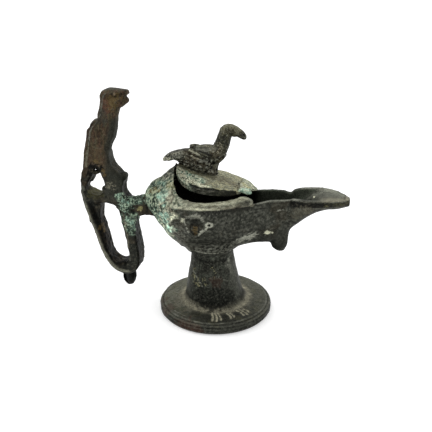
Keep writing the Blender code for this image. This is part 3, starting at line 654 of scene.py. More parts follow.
def shapeBody(skin, zones, grain):           # unevenness, scratches, then parts moved or swollen
    at = skin.at
    x, y, z = at.T
    outer, sizes = zones["outer"], bodySizes
    skin.push(sizes["unevenness"] * mottle(at, 11, 3, 33) + 0.05 * mottle(at, 1.2, 3, 34))
    skin.push(zones["back"] * (sizes["crust height"] + sizes["crust grains"] * grain
                               + 0.15 * mottle(at, 3.0, 2, 35)))
    skin.push(zones["band"] * (0.16 * mottle(at, 2.0, 3, 36)) - 0.25 * zones["under"])
    chips = spots(at, [(20.4, -9.4, 66.4, 1.1), (13.6, -15.2, 64.4, 1.1)], mottle(at, 1.2, 3, 37))
    skin.push(-sizes["chip depth"] * chips * outer)
    scratches = np.zeros(len(at))
    for path in bodyScratches:
        scratches = np.maximum(scratches, fall(farFrom(at, path), 0.5, 0.4))
    skin.push(-sizes["scratch depth"] * scratches * outer)
    # the spout's root is eased, its far rim raised
    skin.relax(60, 0.5 * bell(x, 39, 2.6) * (z < 64.4) * outer)
    skin.at[:, 2] += sizes["far rim raised"] * rise(z, 62, 2) * (y > 3) * rise(x, 18, 3) * fall(x, 37, 3)
    # the underside comes down round the collar, most of all behind
    collar = np.hypot(x + 1.8, y)
    sag = rise(collar, 11, 0.8) * fall(collar, 15.2, 3.2) * fall(z, 45, 4) * outer
    depth = np.where(x < -2, sizes["sag behind"], sizes["sag in front"])
    skin.at[:, 2] -= depth * sag * rise(np.abs(x + 1.8) / collar, 0.5, 0.3)
    # the hood's ridge and flank sink, its keel and back swell
    flank = fall(x, -22, 3) * fall(z, 58, 3) * rise(z, 45, 3)
    keel = fall(x, -16.8, 3) * fall(z, 46, 3)
    bulge = fall(x, -29, 3) * rise(z, 62, 3) * fall(z, 71, 3)
    skin.push((-sizes["ridge sunk"] * zones["ridge"] - sizes["flank sunk"] * flank
               + sizes["keel swollen"] * keel + sizes["back swollen"] * bulge) * outer)
    # the lug, the spout's mouth and the far end of the rim band
    lug = rise(x, 29, 2) * fall(x, 37, 2) * fall(z, 46, 3) * outer
    skin.at[:, 0] += sizes["lug forward"] * lug
    skin.at[:, 2] -= sizes["lug lowered"] * lug
    skin.at[:, 2] -= sizes["mouth lowered"] * rise(x, 56, 4) * fall(z, 64, 2) * outer
    bandEnd = rise(x, 12, 4) * fall(x, 23, 3) * rise(y, 5, 3) * rise(z, 63.6, 2.4)
    skin.at[:, 2] -= sizes["band end lowered"] * bandEnd
    skin.relax(1)


def bareCoat(at, fine):          # dark bronze of the bowl and spout
    x, _, z = at.T
    broad = mottle(at, 7, 3, 41)
    coat = np.tile(tones["dark"] * 1.7, (len(at), 1))
    coat = lay(coat, rise(broad, -0.15, 0.5) * 0.4, tones["grey"] * 1.1)
    coat = lay(coat, rise(fine, 0.08, 0.3) * 0.35, tones["pale grey"] * 0.8)
    coat = lay(coat, fall(fine, -0.08, 0.25) * 0.5, tones["black"] * 1.4)
    coat = lay(coat, rise(mottle(at, 9, 3, 43), 0.1, 0.3) * 0.3, tones["brown"] * (0.62, 0.7, 0.75))
    coat = lay(coat, rise(x, 22, 1) * fall(x, 28, 4) * (z < 52) * 0.4, tones["black"] * 2)
    coat = lay(coat, rise(x, 23.5, 1.5) * fall(x, 42, 6) * fall(z, 51, 3) * 0.65, tones["dark"])
    return coat


def hoodCoat(at, facing, crustCol, ridge, fine, ragged):    # streaks and marks on the crust
    x, y, z = at.T
    grains = mottle(at, 0.9, 2, 53)
    westward = fall(x, -19, 4) * fall(z, 69, 3)
    crustCol = lay(crustCol, westward * rise(grains, 0.1, 0.1) * 0.5, tones["mint"] * (1.2, 1.1, 1.1))
    crustCol = lay(crustCol, westward * fall(grains, -0.08, 0.1) * 0.6, tones["deep green"] * 0.22)
    flow = np.array((0.55, -0.77, -0.32))              # the corrosion runs down towards the rim band
    runs = mottle(at - 0.8 * (at @ flow)[:, None] * flow, 1.3, 3, 50)
    higher = rise(z, 56, 6)
    crustCol = lay(crustCol, rise(runs, 0.04, 0.15) * 0.5 * higher, tones["cream"] * (0.95, 0.95, 0.85))
    crustCol = lay(crustCol, fall(runs, -0.04, 0.15) * 0.65 * higher, tones["deep green"] * 0.4)
    crustCol = lay(crustCol, rise(ragged, 0.14, 0.2) * 0.3, tones["cream"] * 0.9)
    crustCol = lay(crustCol, fall(ragged, -0.1, 0.2) * 0.45, tones["deep green"] * 0.3)
    crustCol = dab(crustCol, at, mottle(at, 1.8, 4, 49) * 1.3, bodyCrustAndShade)
    crustCol = lay(crustCol, fall(fine, -0.05, 0.12) * 0.55, tones["deep green"] * 0.25)
    crustCol = lay(crustCol, rise(fine, 0.12, 0.1) * 0.45, tones["cream"] * 1.05)
    # painted shade on the flank that faces back and down
    flankShade = fall(facing[:, 0], -0.55, 0.25) * fall(facing[:, 2], -0.1, 0.2) * fall(z, 64, 3)
    crustCol = lay(crustCol, flankShade * 0.75, tones["dark"] * (0.9, 1.1, 1.0))
    specks = ridge * rise(mottle(at, 0.8, 2, 52), 0.05, 0.12)
    crustCol = lay(crustCol, specks * 0.7, tones["black"])
    crustCol = crustCol * np.interp(z, (46, 54, 60, 65, 70), (1.7, 1.6, 1.15, 0.95, 0.85))[:, None]
    greener = fall(x, -24, 4) * fall(y, 0, 4)
    crustCol = crustCol * (1 - greener[:, None] * np.array((0.14, 0.0, 0.05)))
    return crustCol


def paintBand(coat, at, facing, zones, fine, ragged):       # painted bounce light low down, and the rim band
    x, _, z = at.T
    outer, band, under = zones["outer"], zones["band"], zones["under"]
    # painted bounce light: the bowl is paler low down, in front and towards the back
    pale = fall(z, 46, 6) * fall(x, 22, 6) * outer * (z > 37.5)
    coat = lay(coat, pale * 0.65 * rise(fine, -0.3, 0.4), tones["pale grey"] * 1.3)
    lower = fall(x, -6, 8) * fall(z, 58, 8) * outer * (1 - zones["back"])
    coat = lay(coat, lower * 0.6 * rise(ragged, -0.15, 0.3), tones["pale grey"] * 1.0)
    bandStart = ease((x + 17) / 9 + 0.6 * mottle(at, 2.4, 3, 39))
    lengthwise = mottle(at * np.array((0.3, 1, 1)), 1.1, 3, 40)
    # painted light: the band's upper face is lighter
    lit = 0.9 + 0.65 * rise(z, 65.4, 1.2) * rise(x, -14, 4)
    coat = lay(coat, band * 0.92 * bandStart, tones["beige"] * (0.9, 0.98, 0.98) * lit[:, None])
    coat = lay(coat, band * bandStart * rise(lengthwise, 0.02, 0.2) * 0.6, tones["brown"] * (1.1, 1.3, 1.4))
    coat = lay(coat, band * bandStart * fall(lengthwise, -0.05, 0.2) * 0.6, tones["cream"] * 0.8)
    coat = lay(coat, band * fall(z, 65.2, 0.8) * rise(x, 4, 6) * 0.5, tones["brown"] * 1.1)
    coat = lay(coat, band * rise(x, 17, 1.5) * rise(ragged, -0.1, 0.2) * 0.5, tones["grey"] * 1.2)
    brim = bell(z, 64.3, 0.6) * (facing[:, 2] < 0.6) * (zones["to band"] < 4) * outer
    brim = brim * fall(x, 6, 5) * rise(x, -24, 6)
    coat = lay(coat, brim * np.clip(0.75 + ragged, 0, 0.95), tones["cream"])
    # painted shadow under the rim band
    coat = lay(coat, under * rise(x, -9, 6) * 0.65, tones["black"])
    coat = lay(coat, under * fall(x, -5, 6) * 0.4, tones["verdigris"] * 0.5)
    return coat


def paintSpout(coat, at, facing, zones, fine, ragged):      # rims and flare with painted highlights and light, near side, and the inside with painted shade and soot
    x, y, z = at.T
    inner, outer = zones["inner"], zones["outer"]
    steps = np.arange(18, 67)
    tops = [z[(np.abs(x - step) < 0.7) & (y < 1)].max() for step in steps]
    drop = np.interp(x, steps, tops) - z
    near = outer * (x > 19) * (y < 2)
    # painted highlights along the near rim and on the far rim's top
    coat = lay(coat, near * fall(drop, 0.75, 0.4) * 0.8, tones["pale grey"] * 1.1)
    far = outer * (x > 19) * (y > 2) * rise(z - np.interp(x, (20, 40, 56), (64.6, 65.4, 67)), 0, 0.6)
    coat = lay(coat, far * 0.5, tones["grey"] * 1.3)
    face = near * (x > 36) * rise(drop, 0.8, 0.3)
    coat = lay(coat, face * fall(drop, 4.2, 0.6) * rise(x, 37, 3) * 0.92, tones["black"] * 0.8)
    olive = rise(x, 53.5, 1) * fall(x, 57.5, 1) * 0.6 + rise(x, 57, 3) * 0.4
    coat = lay(coat, face * fall(drop, 3.6, 0.6) * olive * rise(ragged, -0.25, 0.3), tones["olive"] * 0.8)
    coat = lay(coat, face * bell(drop, 4, 0.35) * rise(x, 44, 4) * 0.6, tones["pale grey"] * 0.7)
    # painted light on the flare's upturned face, stronger towards the tip, and on the far inner wall
    flare = rise(x, 41, 3) * rise(facing[:, 2], 0.25, 0.25)
    flareLight = np.interp(x, (41, 45, 50, 56, 62, 66), (0.8, 0.9, 1.5, 2.5, 2.9, 2.6))
    wall = rise(x, 38, 3) * (y > 1) * fall(facing[:, 1], -0.3, 0.3) * rise(z, 58, 3)
    lift = np.interp(x, (38, 42, 50), (1.0, 2.0, 2.6))
    coat = lay(coat, wall * 0.9, tones["grey"] * (0.95, 1.05, 0.98) * lift[:, None])
    coat = lay(coat, flare * 0.9, tones["grey"] * flareLight[:, None])
    coat = lay(coat, flare * rise(x, 49, 8) * fall(y, 4, 6) * 0.8, tones["beige"] * 1.05)
    coat = lay(coat, flare * rise(fine, -0.05, 0.3) * 0.25, tones["pale grey"] * 0.8)
    # painted highlight on the flare's far rim
    coat = lay(coat, flare * rise(y, 6, 2) * rise(z, 66.4, 0.6) * 0.8, tones["pale grey"] * 1.2)
    flecks = spots(at, [(49.2, 5.8, 64.0, 0.5), (47.6, 5.2, 63.6, 0.3), (51, 6.6, 64.6, 0.35)])
    coat = lay(coat, flecks * flare, tones["cream"] * 1.4)
    # painted shade and soot: the inside is black, less so along the trough
    coat = lay(coat, inner * 0.92 * fall(x, 43, 5) * (1 - 0.6 * rise(x, 19, 4)), tones["black"] * 0.5)
    coat = lay(coat, inner * rise(x, 19, 4) * fall(x, 46, 6) * 0.8, tones["grey"] * (1.1, 1.25, 1.1))
    return coat


def paintDetails(coat, at, zones, ragged):   # marks, the drilled hole, the shield's ribs, the seam
    x, y, z = at.T
    inner, outer = zones["inner"], zones["outer"]
    coat = dab(coat, at, ragged * 1.6, bodyMarks)
    along = np.column_stack([(x * 0.886 + z * 0.463) * 0.2, y * 0.3, z * 0.886 - x * 0.463])
    grooves = mottle(along, 0.9, 2, 44)
    streaky = spots(at, [(18.2, -8.2, 45.8, 3.4), (14, -9.6, 44, 3.0)])
    coat = lay(coat, streaky * fall(grooves, -0.03, 0.15) * 0.7, tones["dark"] * 1.6)
    coat = line(coat, at, ragged * 1.5, bodyLines)
    fromRing = np.hypot((x - 0.3) / 1.25, (z - 55.7) / 1.0) + ragged * 0.3 + ((y > -17) | inner) * 9
    coat = lay(coat, fall(fromRing, 1.75, 0.4) * 0.9, tones["pale grey"] * 1.9)
    # painted shade inside the drilled hole
    coat = lay(coat, fall(fromRing, 0.8, 0.25), tones["black"] * 0.6)
    ribs = spots(at, [(-6.7, -19.8, 52.4, 1.6)])
    coat = lay(coat, ribs * ease(np.sin(z * 4.6) * 2) * 0.7, tones["black"] * 0.8)
    collar = np.hypot(x + 1.8, y)
    # painted shade: the collar's lower part is darkened like the stem's top
    coat = lay(coat, fall(collar, 13, 0.6) * fall(z, 37.4, 0.4) * 0.85, tones["dark"] * 1.1)
    seam = bell(z + 0.02 * y, 36.4, 0.42) * fall(collar, 14, 0.6) * outer
    coat = lay(coat, seam * ease(1.0 + 1.4 * ragged - 0.5 * ease(x / 3)), tones["pale grey"] * 2.0)
    return coat


def finishBody(skin):
    keepCorner(skin)
    skin.relaxFlats(bodySizes["flat rounds"])
    skin.relax(3)
    facing = skin.normals()
    zones = bodyZones(skin.at, facing)
    crustCol, grain = crustCoat(skin.at, 32)
    shapeBody(skin, zones, grain)
    at = skin.at
    back = zones["back"]
    fine = mottle(at, 1.3, 4, 42)
    ragged = mottle(at, 1.1, 3, 46)
    coat = bareCoat(at, fine)
    crackle = spots(at, [(0.8, -20.4, 61.8, 1.6), (3.2, -20.2, 61, 1.7), (5.4, -19.4, 62.2, 1.2),
                         (-1, -20.4, 62.6, 1.0)])
    coat = lay(coat, crackle * squiggle(at, 1.6, 48) * 0.8, tones["pale grey"] * 1.3)
    crustCol = hoodCoat(at, facing, crustCol, zones["ridge"], fine, ragged)
    coat = lay(coat, np.maximum(back, spots(at, [(-17.6, -18.4, 51.4, 1.9)], ragged)), crustCol)
    coat = paintBand(coat, at, facing, zones, fine, ragged)
    coat = paintSpout(coat, at, facing, zones, fine, ragged)
    coat = paintDetails(coat, at, zones, ragged)
    crust = back + zones["band"] * 0.5 + zones["inner"] * 0.3 + crackle * 0.3 + 0.1
    skin.store()
    skin.paint("coat", coat)
    skin.paint("crust", np.clip(crust, 0, 1))


# the handle
handleSizes = {
    "voxel": 0.3, "crease angle": 40, "rounds": 14, "bar slope": 2.2, "bar grown": 0.5, "nape sunk": 1.1,
    "back grown": 0.45, "notch sunk": 0.6, "unevenness": 0.2, "waves": 0.3, "crust height": 0.06,
    "crust grains": 0.22, "metal": 0.85, "gloss": 0.42, "grain": 0.45,
}


def handleAdded(forms):
    for side in (-1, 1):
        ball(forms, (-48.9, side * 3.9, 114.1), (0.9, 0.45, 0.7))       # eyes
        ball(forms, (-44.9, side * 1.6, 114.7), (1.1, 0.9, 0.7), 10)    # nostrils
    ball(forms, (-45.9, 0, 109.2), (3.2, 3.2, 1.1), -42)                # under the jaw
    ball(forms, (-48.0, 0, 71.0), (2.2, 3.8, 3.2), 10)                  # paw on the front
    ball(forms, (-62.2, 0, 74.4), (3.6, 5.2, 2.1))                      # the pear opening's narrow top
    ball(forms, (-65.8, 1.5, 70.2), (1.7, 3.6, 3.0))
    ball(forms, (-57.4, -3, 65.2), (1.7, 3.2, 1.6))
    slab(forms, [(-67, 57.6), (-60.4, 57.6), (-61.5, 52), (-61.9, 46), (-67, 46)], -5.0, 5.6)  # slot corner
    slab(forms, [(-51.4, 58.5), (-50.2, 52), (-49.1, 47), (-46.5, 47), (-46.5, 58.5)], -5.2, 4.0)
    slab(forms, [(-40, 56), (-40, 53.0), (-32.6, 53.0), (-32.6, 56)], -4.2, 4.2)            # under the stub
    ball(forms, (-61.2, 0, 40.0), (1.2, 4.4, 3.6), -13)                 # swelling on its inner edge


def handleCut(forms):            # hollow above the openwork with its small second hole, and the open mouth
    ball(forms, (-61.0, -6.8, 77.0), (3.6, 2.6, 2.8))
    rod(forms, (-59.9, -7, 76.5), (-66.3, 9, 71.2), 0.75, 0.75)
    ball(forms, (-42.6, 0, 113.0), (2.6, 4.0, 0.65), -8)
    ball(forms, (-66.6, 4.4, 64.4), (2.2, 2.8, 1.7))


handleMarks = [                  # tone, share of it, strength, places (x, y, z, reach)
    ("gold brown", 0.75, 0.75, [(-50.6, -5, 111, 3.0), (-51, -5, 107.6, 2.2), (-48, -4.4, 112.4, 2.2),
                                (-49.6, -4, 109, 1.8)]),
    ("red brown", 0.8, 0.6, [(-54, -4.6, 110.5, 1.8), (-53.4, -4.8, 107.6, 1.8),
                             (-52.6, -4.8, 105.6, 1.5)]),
    ("grey", 1.1, 0.5, [(-56.4, -4.4, 104, 2.6), (-58, -4.8, 101.4, 2.4), (-54.8, -4.8, 101, 2.0)]),
    ("brown", 1.5, 0.5, [(-60.9, -5, 82, 2.6), (-59.4, -5, 85.6, 2.4), (-60.4, -5, 79.6, 2.0)]),
    ("brown", 0.7, 0.55, [(-66, -4.6, 78, 1.8), (-66.6, -4.8, 73, 1.8), (-67.4, -5.2, 68, 1.6)]),
    ("black", 0.6, 0.95, [(-61.4, -4.6, 76.6, 2.5), (-63.4, -4.6, 76.8, 1.6), (-59.2, -4.4, 76.2, 1.8),
                          (-64.4, -4.6, 73, 1.9), (-65, -4.8, 70, 1.5)]),
    ("gold brown", 0.9, 0.6, [(-57.2, -5, 75, 0.9), (-56.6, -5.2, 73, 0.9), (-60.6, -4.8, 80, 1.0)]),
    ("olive", 0.75, 0.5, [(-62, -5.6, 61.6, 2.4), (-59, -5.4, 62.6, 1.6), (-64.6, -5.8, 62, 1.6)]),
    ("black", 1.0, 0.6, [(-61, -6, 58.6, 1.8), (-64.6, -5.8, 57.6, 1.6)]),
    ("grey", 1.1, 0.4, [(-55.4, -5.4, 64, 2.0), (-52.4, -5.4, 61, 2.0)]),
    ("gold brown", 0.9, 0.8, [(-60.8, -1.5, 43.6, 1.5), (-60.2, -1.5, 41.4, 1.3),
                              (-61.2, -4.6, 43.6, 1.2)]),
    ("pale grey", 1.0, 0.7, [(-63.2, 1, 50.4, 0.8), (-62.9, -2, 49.8, 0.6)]),
    # painted highlight on the slot's bottom
    ("pale grey", 0.8, 0.6, [(-46.4, -5.2, 27.4, 1.3), (-48.6, -3, 25.6, 1.4), (-51, 1, 24.4, 1.2)]),
    ("straw", 0.55, 0.8, [(-38.7, -4.9, 55.8, 1.2), (-37.9, -5.0, 56.6, 0.8), (-39.8, -4.8, 55.2, 0.7)]),
    ("black", 1.0, 0.8, [(-34.8, -5.4, 56.4, 0.8), (-34.6, -5.4, 54.6, 0.8), (-34.8, -5.4, 58.4, 0.7)]),
]
handleCrust = [
    ("mint", 0.95, 0.7, [(-44.8, -6, 50.2, 1.4), (-43, -5.8, 48.4, 1.5), (-42, -5, 45.4, 1.3),
                         (-47.2, -5.8, 60.2, 1.4), (-44.8, -5.2, 58.8, 1.1), (-49.4, -5.5, 62.8, 1.1)]),
    ("deep green", 0.4, 0.9, [(-43.4, -6, 54.8, 1.9), (-44.8, -6, 56.6, 1.4), (-41.8, -5.4, 56.6, 1.5),
                              (-42, -5.6, 53, 1.3), (-44.0, -4.4, 59.4, 1.0), (-40.8, -4.4, 58.8, 1.4)]),
    ("cream", 0.9, 0.6, [(-36.6, -3.6, 59.6, 1.0), (-35.4, -4.6, 60.4, 1.0), (-46.6, -5.9, 47.4, 0.9)]),
]
handleLines = [                  # tone, share of it, strength, half width, path
    ("pale grey", 0.7, 0.7, 0.42, [(-53.2, -4.4, 114.8), (-54.6, -4.4, 113), (-55.8, -4.0, 108.4),
                                   (-57.0, -4.4, 104)]),
    ("pale grey", 0.9, 0.8, 0.5, [(-57.0, -4.4, 104), (-59.4, -4.8, 100.4), (-61.6, -4.8, 97.6),
                                  (-62.8, -4.8, 95), (-63.6, -4.8, 91), (-64.2, -4.8, 88)]),
    ("beige", 0.6, 0.6, 0.6, [(-64.2, -4.8, 88), (-65.6, -4.8, 82), (-66.4, -4.8, 77)]),
    ("black", 0.8, 0.8, 0.6, [(-61.6, -3.0, 99.6), (-63.2, -3.4, 96), (-64.4, -3.6, 92)]),
    # painted highlight along the outer rim of the left bar
    ("pale grey", 0.6, 0.7, 0.9, [(-69, -5.2, 66), (-69, -5.2, 60), (-67.8, -5.6, 55.4)]),
    ("beige", 0.6, 0.6, 0.5, [(-47.8, -5.8, 52), (-46.6, -5.8, 44), (-45.9, -5.8, 36),
                              (-46.2, -5.8, 31)]),
    ("black", 0.9, 0.6, 0.35, [(-46.9, -5.8, 44), (-46.4, -5.8, 37), (-46.6, -5.8, 32)]),
    ("black", 0.9, 0.6, 0.4, [(-47.2, -3.2, 112.7), (-45.4, -3.0, 113)]),
]


def onStub(at):                  # 1 on the stub that meets the bowl
    return rise(at[:, 0], -41, 1.5) * (at[:, 2] < 64)


def shapeHandle(skin):           # wear, waves and crust; gives back the measures that the coat goes by
    at = skin.at
    x, y, z = at.T
    sizes = handleSizes
    # the outer rim stands out along the front, and the bar falls away towards the slot
    outerPath = [(-68.6, -6, 58), (-66.6, -6, 50), (-63.8, -6, 41.6), (-60.8, -6, 32), (-57, -6, 24.4),
                 (-52.3, -6, 19.8), (-46.8, -6, 19.2)]
    flat = np.column_stack([x, np.full(len(at), -6.0), z])
    fromRim = farFrom(flat, outerPath)
    slope = rise(fromRim, 1.2, 2.6) * fall(y, 3.5, 9) * fall(z, 60, 5) * fall(x, -46.5, 4)
    skin.at[:, 1] += slope * sizes["bar slope"] * (y < -2)
    # the bar and the back grow, the nape and the notch above the stub sink in
    facing = skin.normals()
    bar = fall(facing[:, 0], -0.3, 0.4) * (x > -52) * rise(z, 30, 4) * fall(z, 58, 3)
    skin.at[:, 0] -= sizes["bar grown"] * bar
    skin.at[:, 0] += sizes["nape sunk"] * spots(at, [(-62.4, 0, 100.4, 5.0)])
    back = fall(facing[:, 0], -0.3, 0.4) * rise(z, 66, 4) * (x < -52)
    notch = spots(at, [(-45.6, 0, 66.2, 4.2), (-43.8, 0, 63.0, 3.0)]) * rise(facing[:, 0], 0.2, 0.3)
    skin.at[:, 0] -= sizes["back grown"] * back + sizes["notch sunk"] * notch
    within = fall(np.abs(facing[:, 1]), 0.6, 0.3) * fall(z, 80, 2)      # the walls of the slot and openwork
    skin.push(sizes["unevenness"] * mottle(at, 7, 3, 51) + 0.07 * mottle(at, 1.3, 3, 52)
              + within * sizes["waves"] * mottle(at, 2.4, 3, 58))
    green = spots(at, [(-41.7, -2.9, 59.8, 4.5), (-43.5, -5, 50, 5.0), (-43.0, -5.7, 45.4, 3.6),
                       (-38, -3, 59.8, 3.4), (-46.4, -5, 57.6, 3.6), (-48.8, -5, 61.8, 2.6),
                       (-35.4, -4, 60.2, 1.8), (-41.7, 4, 58, 5.0), (-42.4, 5, 49, 4.0)],
                  mottle(at, 2.0, 3, 53) * 1.4)
    crustCol, grain = crustCoat(at, 54)
    skin.push(green * (sizes["crust height"] + sizes["crust grains"] * grain))
    skin.relax(1)
    return {"from rim": fromRim, "within": within, "green": green, "crust coat": crustCol}


def beastCoat(at, facing, zones, fine):                 # the handle's own metal, brown on the beast, with painted shade
    x, _, z = at.T
    within, green = zones["within"], zones["green"]
    broad = mottle(at, 6, 3, 55)
    beast = rise(z, 72, 8)
    coat = np.tile(tones["dark"] * 0.95, (len(at), 1))
    coat = lay(coat, beast * 0.9, tones["brown"] * 1.05)
    streaks = mottle(at * np.array((1.0, 1.0, 0.25)), 1.5, 4, 57)
    coat = lay(coat, rise(streaks, 0.02, 0.25) * beast * 0.4, tones["red brown"] * 0.6)
    coat = lay(coat, fall(streaks, -0.08, 0.25) * beast * 0.5, tones["olive"] * 0.38)
    coat = lay(coat, rise(broad, 0, 0.4) * 0.3, tones["brown"] * 0.9)
    coat = lay(coat, rise(fine, 0.14, 0.3) * 0.2, tones["beige"] * 0.5)
    hairs = mottle(at * np.array((1.0, 1.0, 0.3)), 0.8, 2, 62)
    coat = lay(coat, rise(hairs, 0.1, 0.1) * beast * 0.4, tones["black"] * 1.5)
    coat = lay(coat, fall(fine, -0.12, 0.3) * 0.35, tones["black"] * 1.5)
    coat = lay(coat, rise(z, 115.2, 1.2) * 0.6, tones["grey"] * 1.3)
    # painted shade: the breast in front of this line is darker, and so are the faces that look to the bowl
    front = np.interp(z, (64, 76, 86, 96, 104), (-56.5, -57.5, -57, -55, -53))
    shade = rise(x - front, 0, 3) * fall(z, 103, 3) * (z > 62)
    coat = lay(coat, shade * 0.75, tones["dark"] * (1.6, 1.65, 1.6))
    toFront = rise(facing[:, 0], 0.35, 0.3)
    coat = lay(coat, toFront * (z > 62) * fall(z, 104, 3) * 0.7, tones["dark"] * 1.4)
    coat = lay(coat, toFront * (z <= 62) * (1 - green) * 0.85, tones["black"])
    # painted shade on the walls of the slot and openwork, and the openwork's lower lip
    coat = lay(coat, within * (1 - green) * (facing[:, 0] < 0.35) * 0.85, tones["black"] * 1.2)
    coat = lay(coat, within * rise(fine, 0.05, 0.2) * (x < -50) * 0.5, tones["brown"] * 0.7)
    lipIn = within * rise(facing[:, 2], 0.4, 0.3) * (z < 68) * (z > 58) * (x < -56)
    coat = lay(coat, lipIn * 0.8, tones["olive"] * 0.9)
    coat = lay(coat, onStub(at) * 0.85, tones["brown"] * (0.36, 0.4, 0.38))
    return coat


def paintEyes(coat, at):         # eye and nostril on both cheeks
    for side in (-1, 1):
        lids = spots(at, [(-50.2, side * 4.2, 114.3, 0.6), (-48.6, side * 4.4, 113.2, 0.7)])
        eye = spots(at, [(-48.9, side * 4.4, 114.3, 0.75)])
        nostril = spots(at, [(-44.0, side * 1.9, 115.6, 0.6)])
        coat = lay(coat, lids * 0.6, tones["black"])
        coat = lay(coat, eye * 0.55, tones["beige"] * (0.8, 0.66, 0.62))
        coat = lay(coat, nostril * 0.7, tones["black"])
    return coat


def finishHandle(skin):
    skin.relax(handleSizes["rounds"])
    zones = shapeHandle(skin)
    green = zones["green"]
    hollow = skin.hollows(8)
    at = skin.at
    x, y, z = at.T
    fine = mottle(at, 1.4, 4, 56)
    coat = beastCoat(at, skin.normals(), zones, fine)
    coat = dab(coat, at, fine * 1.6, handleMarks)
    speckled = spots(at, [(-54.2, -5.2, 67.9, 2.2), (-52.4, -5.4, 66.6, 1.6)], fine)
    coat = lay(coat, speckled * rise(mottle(at, 0.7, 2, 60), 0.08, 0.08) * 0.7, tones["beige"] * 0.8)
    # painted highlight on the crests and painted shade in the hollows
    coat = lay(coat, fall(hollow, -0.03, 0.12) * 0.35, tones["beige"] * 0.6)
    coat = lay(coat, rise(hollow, 0.03, 0.12) * 0.6, tones["black"] * 0.8)
    crustCol = dab(zones["crust coat"] * 0.6, at, fine * 1.6, handleCrust)
    crustCol = lay(crustCol, fall(fine, -0.04, 0.2) * 0.75, tones["deep green"] * 0.22)
    specks = mottle(at, 0.8, 2, 61)
    bare = mottle(at, 2.4, 2, 63)
    crustCol = lay(crustCol, rise(specks, 0.12, 0.1) * 0.6, tones["mint"] * (1.35, 1.15, 1.05))
    crustCol = lay(crustCol, rise(bare, 0.05, 0.15) * 0.6, tones["dark"] * (0.7, 1.0, 0.9))
    coat = lay(coat, green * (1 - onStub(at) * fall(z, 58.6, 1)), crustCol)
    coat = line(coat, at, fine * 0.6, handleLines)
    squiggles = squiggle(at, 1.3, 59) * fall(z, 50, 4) * rise(x, -48, 3) * (z > 20)
    coat = lay(coat, squiggles * 0.5, tones["grey"] * (1.3, 1.5, 1.35))
    # painted highlight along the outer rim
    rim = fall(zones["from rim"], 1.5, 0.7) * (y < -3) * (z > 19) * fall(z, 59.5, 4)
    coat = lay(coat, rim * 0.75, tones["pale grey"] * (0.95, 0.93, 0.85))
    coat = paintEyes(coat, at)
    coat = lay(coat, fall(z, 18.2, 1.5) * 0.9, tones["black"] * 1.1)
    skin.store()
    skin.paint("coat", coat)
    skin.paint("crust", np.clip(green * 0.9 + speckled * 0.3 + 0.12, 0, 1))


# the lid
lidSizes = {
    "voxel": 0.26, "crease angle": 40, "flat rounds": 30, "lumps": 0.12, "grains": 0.14, "worm depth": 0.25,
    "corner lowered": 0.6, "corner drawn in": 0.3, "far side lowered": 0.4,
    "metal": 0.5, "gloss": 0.55, "grain": 0.5,
}
lidMarks = [                     # tone, share of it, strength, places (x, y, z, reach)
    # painted shadow round the bird's foot
    ("olive", 0.5, 0.6, [(-16.6, -0.7, 79.6, 2.6), (-14.4, -3.4, 78.8, 2.2), (-11.7, -6.3, 77.6, 1.8),
                         (-15.8, 3, 79, 2.6), (-8.6, -5.4, 76.8, 1.8), (-5.8, -5.0, 76.1, 1.6),
                         (-2.4, -5.0, 75.3, 1.6), (0, -3.4, 74.9, 1.6)]),
    ("verdigris", 1.1, 0.6, [(-12.4, -8.8, 76.4, 1.6), (-10.4, -10.2, 75.8, 1.5),
                             (-7.4, -10.2, 75.5, 1.4), (-4.2, -11.5, 74.6, 1.2), (-13.6, -6.8, 77.6, 1.0),
                             (-8, -7.8, 76.2, 1.0)]),
    ("verdigris", 0.9, 0.7, [(-16, -9.7, 74.4, 1.2), (-13.6, -11.2, 73.4, 1.3), (-17.3, -8.2, 75.9, 1.0),
                             (-11, -12.4, 73.2, 1.0)]),
    ("cream", 1.0, 0.65, [(-11.4, -11.2, 75.4, 1.0), (-9.2, -11.8, 75.2, 1.0), (-8.0, -8.6, 76.0, 0.9),
                          (-6.2, -10.6, 75.2, 0.9), (-13.4, -9.6, 76.4, 0.8), (-14.6, -10.4, 74.6, 0.8),
                          (-12, -11.8, 73.8, 0.8), (-16.2, -8.8, 76.2, 0.6)]),
    ("straw", 1.0, 0.75, [(15.6, -2.6, 71.2, 1.8), (17.4, -4.2, 70.6, 1.4), (14.4, -0.4, 71.6, 1.2)]),
    ("mint", 1.1, 0.75, [(14.6, -8.4, 70.6, 1.3), (16.4, -7.4, 70.2, 1.5), (18.0, -5.8, 70.0, 1.0),
                         (13.4, -9.6, 70.8, 0.8), (16.4, -8.6, 69.2, 1.8), (18.4, -7.8, 68.8, 1.2)]),
    ("beige", 1.4, 0.7, [(13.2, -5.4, 71.6, 1.3), (13.4, -2.4, 71.8, 1.0), (15, -5.2, 71.2, 0.9),
                         (14.6, 2, 71.4, 1.6)]),
    ("cream", 1.0, 0.6, [(19.0, -3.2, 70.2, 0.8), (16.6, -0.2, 71.0, 0.8)]),
    ("black", 1.0, 0.8, [(19.8, -1.2, 69.8, 1.0), (19.2, -3.8, 69.8, 0.6), (20.8, 0.6, 69.4, 0.8)]),
    ("brown", 1.1, 0.35, [(4, -4, 74, 4.0), (9, -5, 72.6, 3.0), (12.2, -7.4, 71.6, 1.3)]),
]
lidLines = [                     # tone, share of it, strength, half width, path
    # painted highlight along the near edge
    ("cream", 1.05, 0.85, 0.5, [(-10.4, -12.2, 75.0), (-6.6, -13.4, 73.9), (-3.6, -13.9, 73.5),
                                (0, -14.2, 72.9)]),
    ("beige", 0.7, 0.6, 0.3, [(-8, -13.6, 71.4), (-4, -14.2, 71.2), (1, -14.3, 71.0), (6, -13.2, 70.7)]),
    ("grey", 1.2, 0.5, 0.25, [(-4, -13.6, 70.4), (2, -13.8, 70.2), (8, -12.2, 70.2)]),
    ("brown", 0.7, 0.8, 0.2, [(10.8, -10.3, 71.6), (11.0, -7.6, 71.9), (11.9, -5.4, 71.9),
                              (12.9, -5.8, 71.6)]),
]
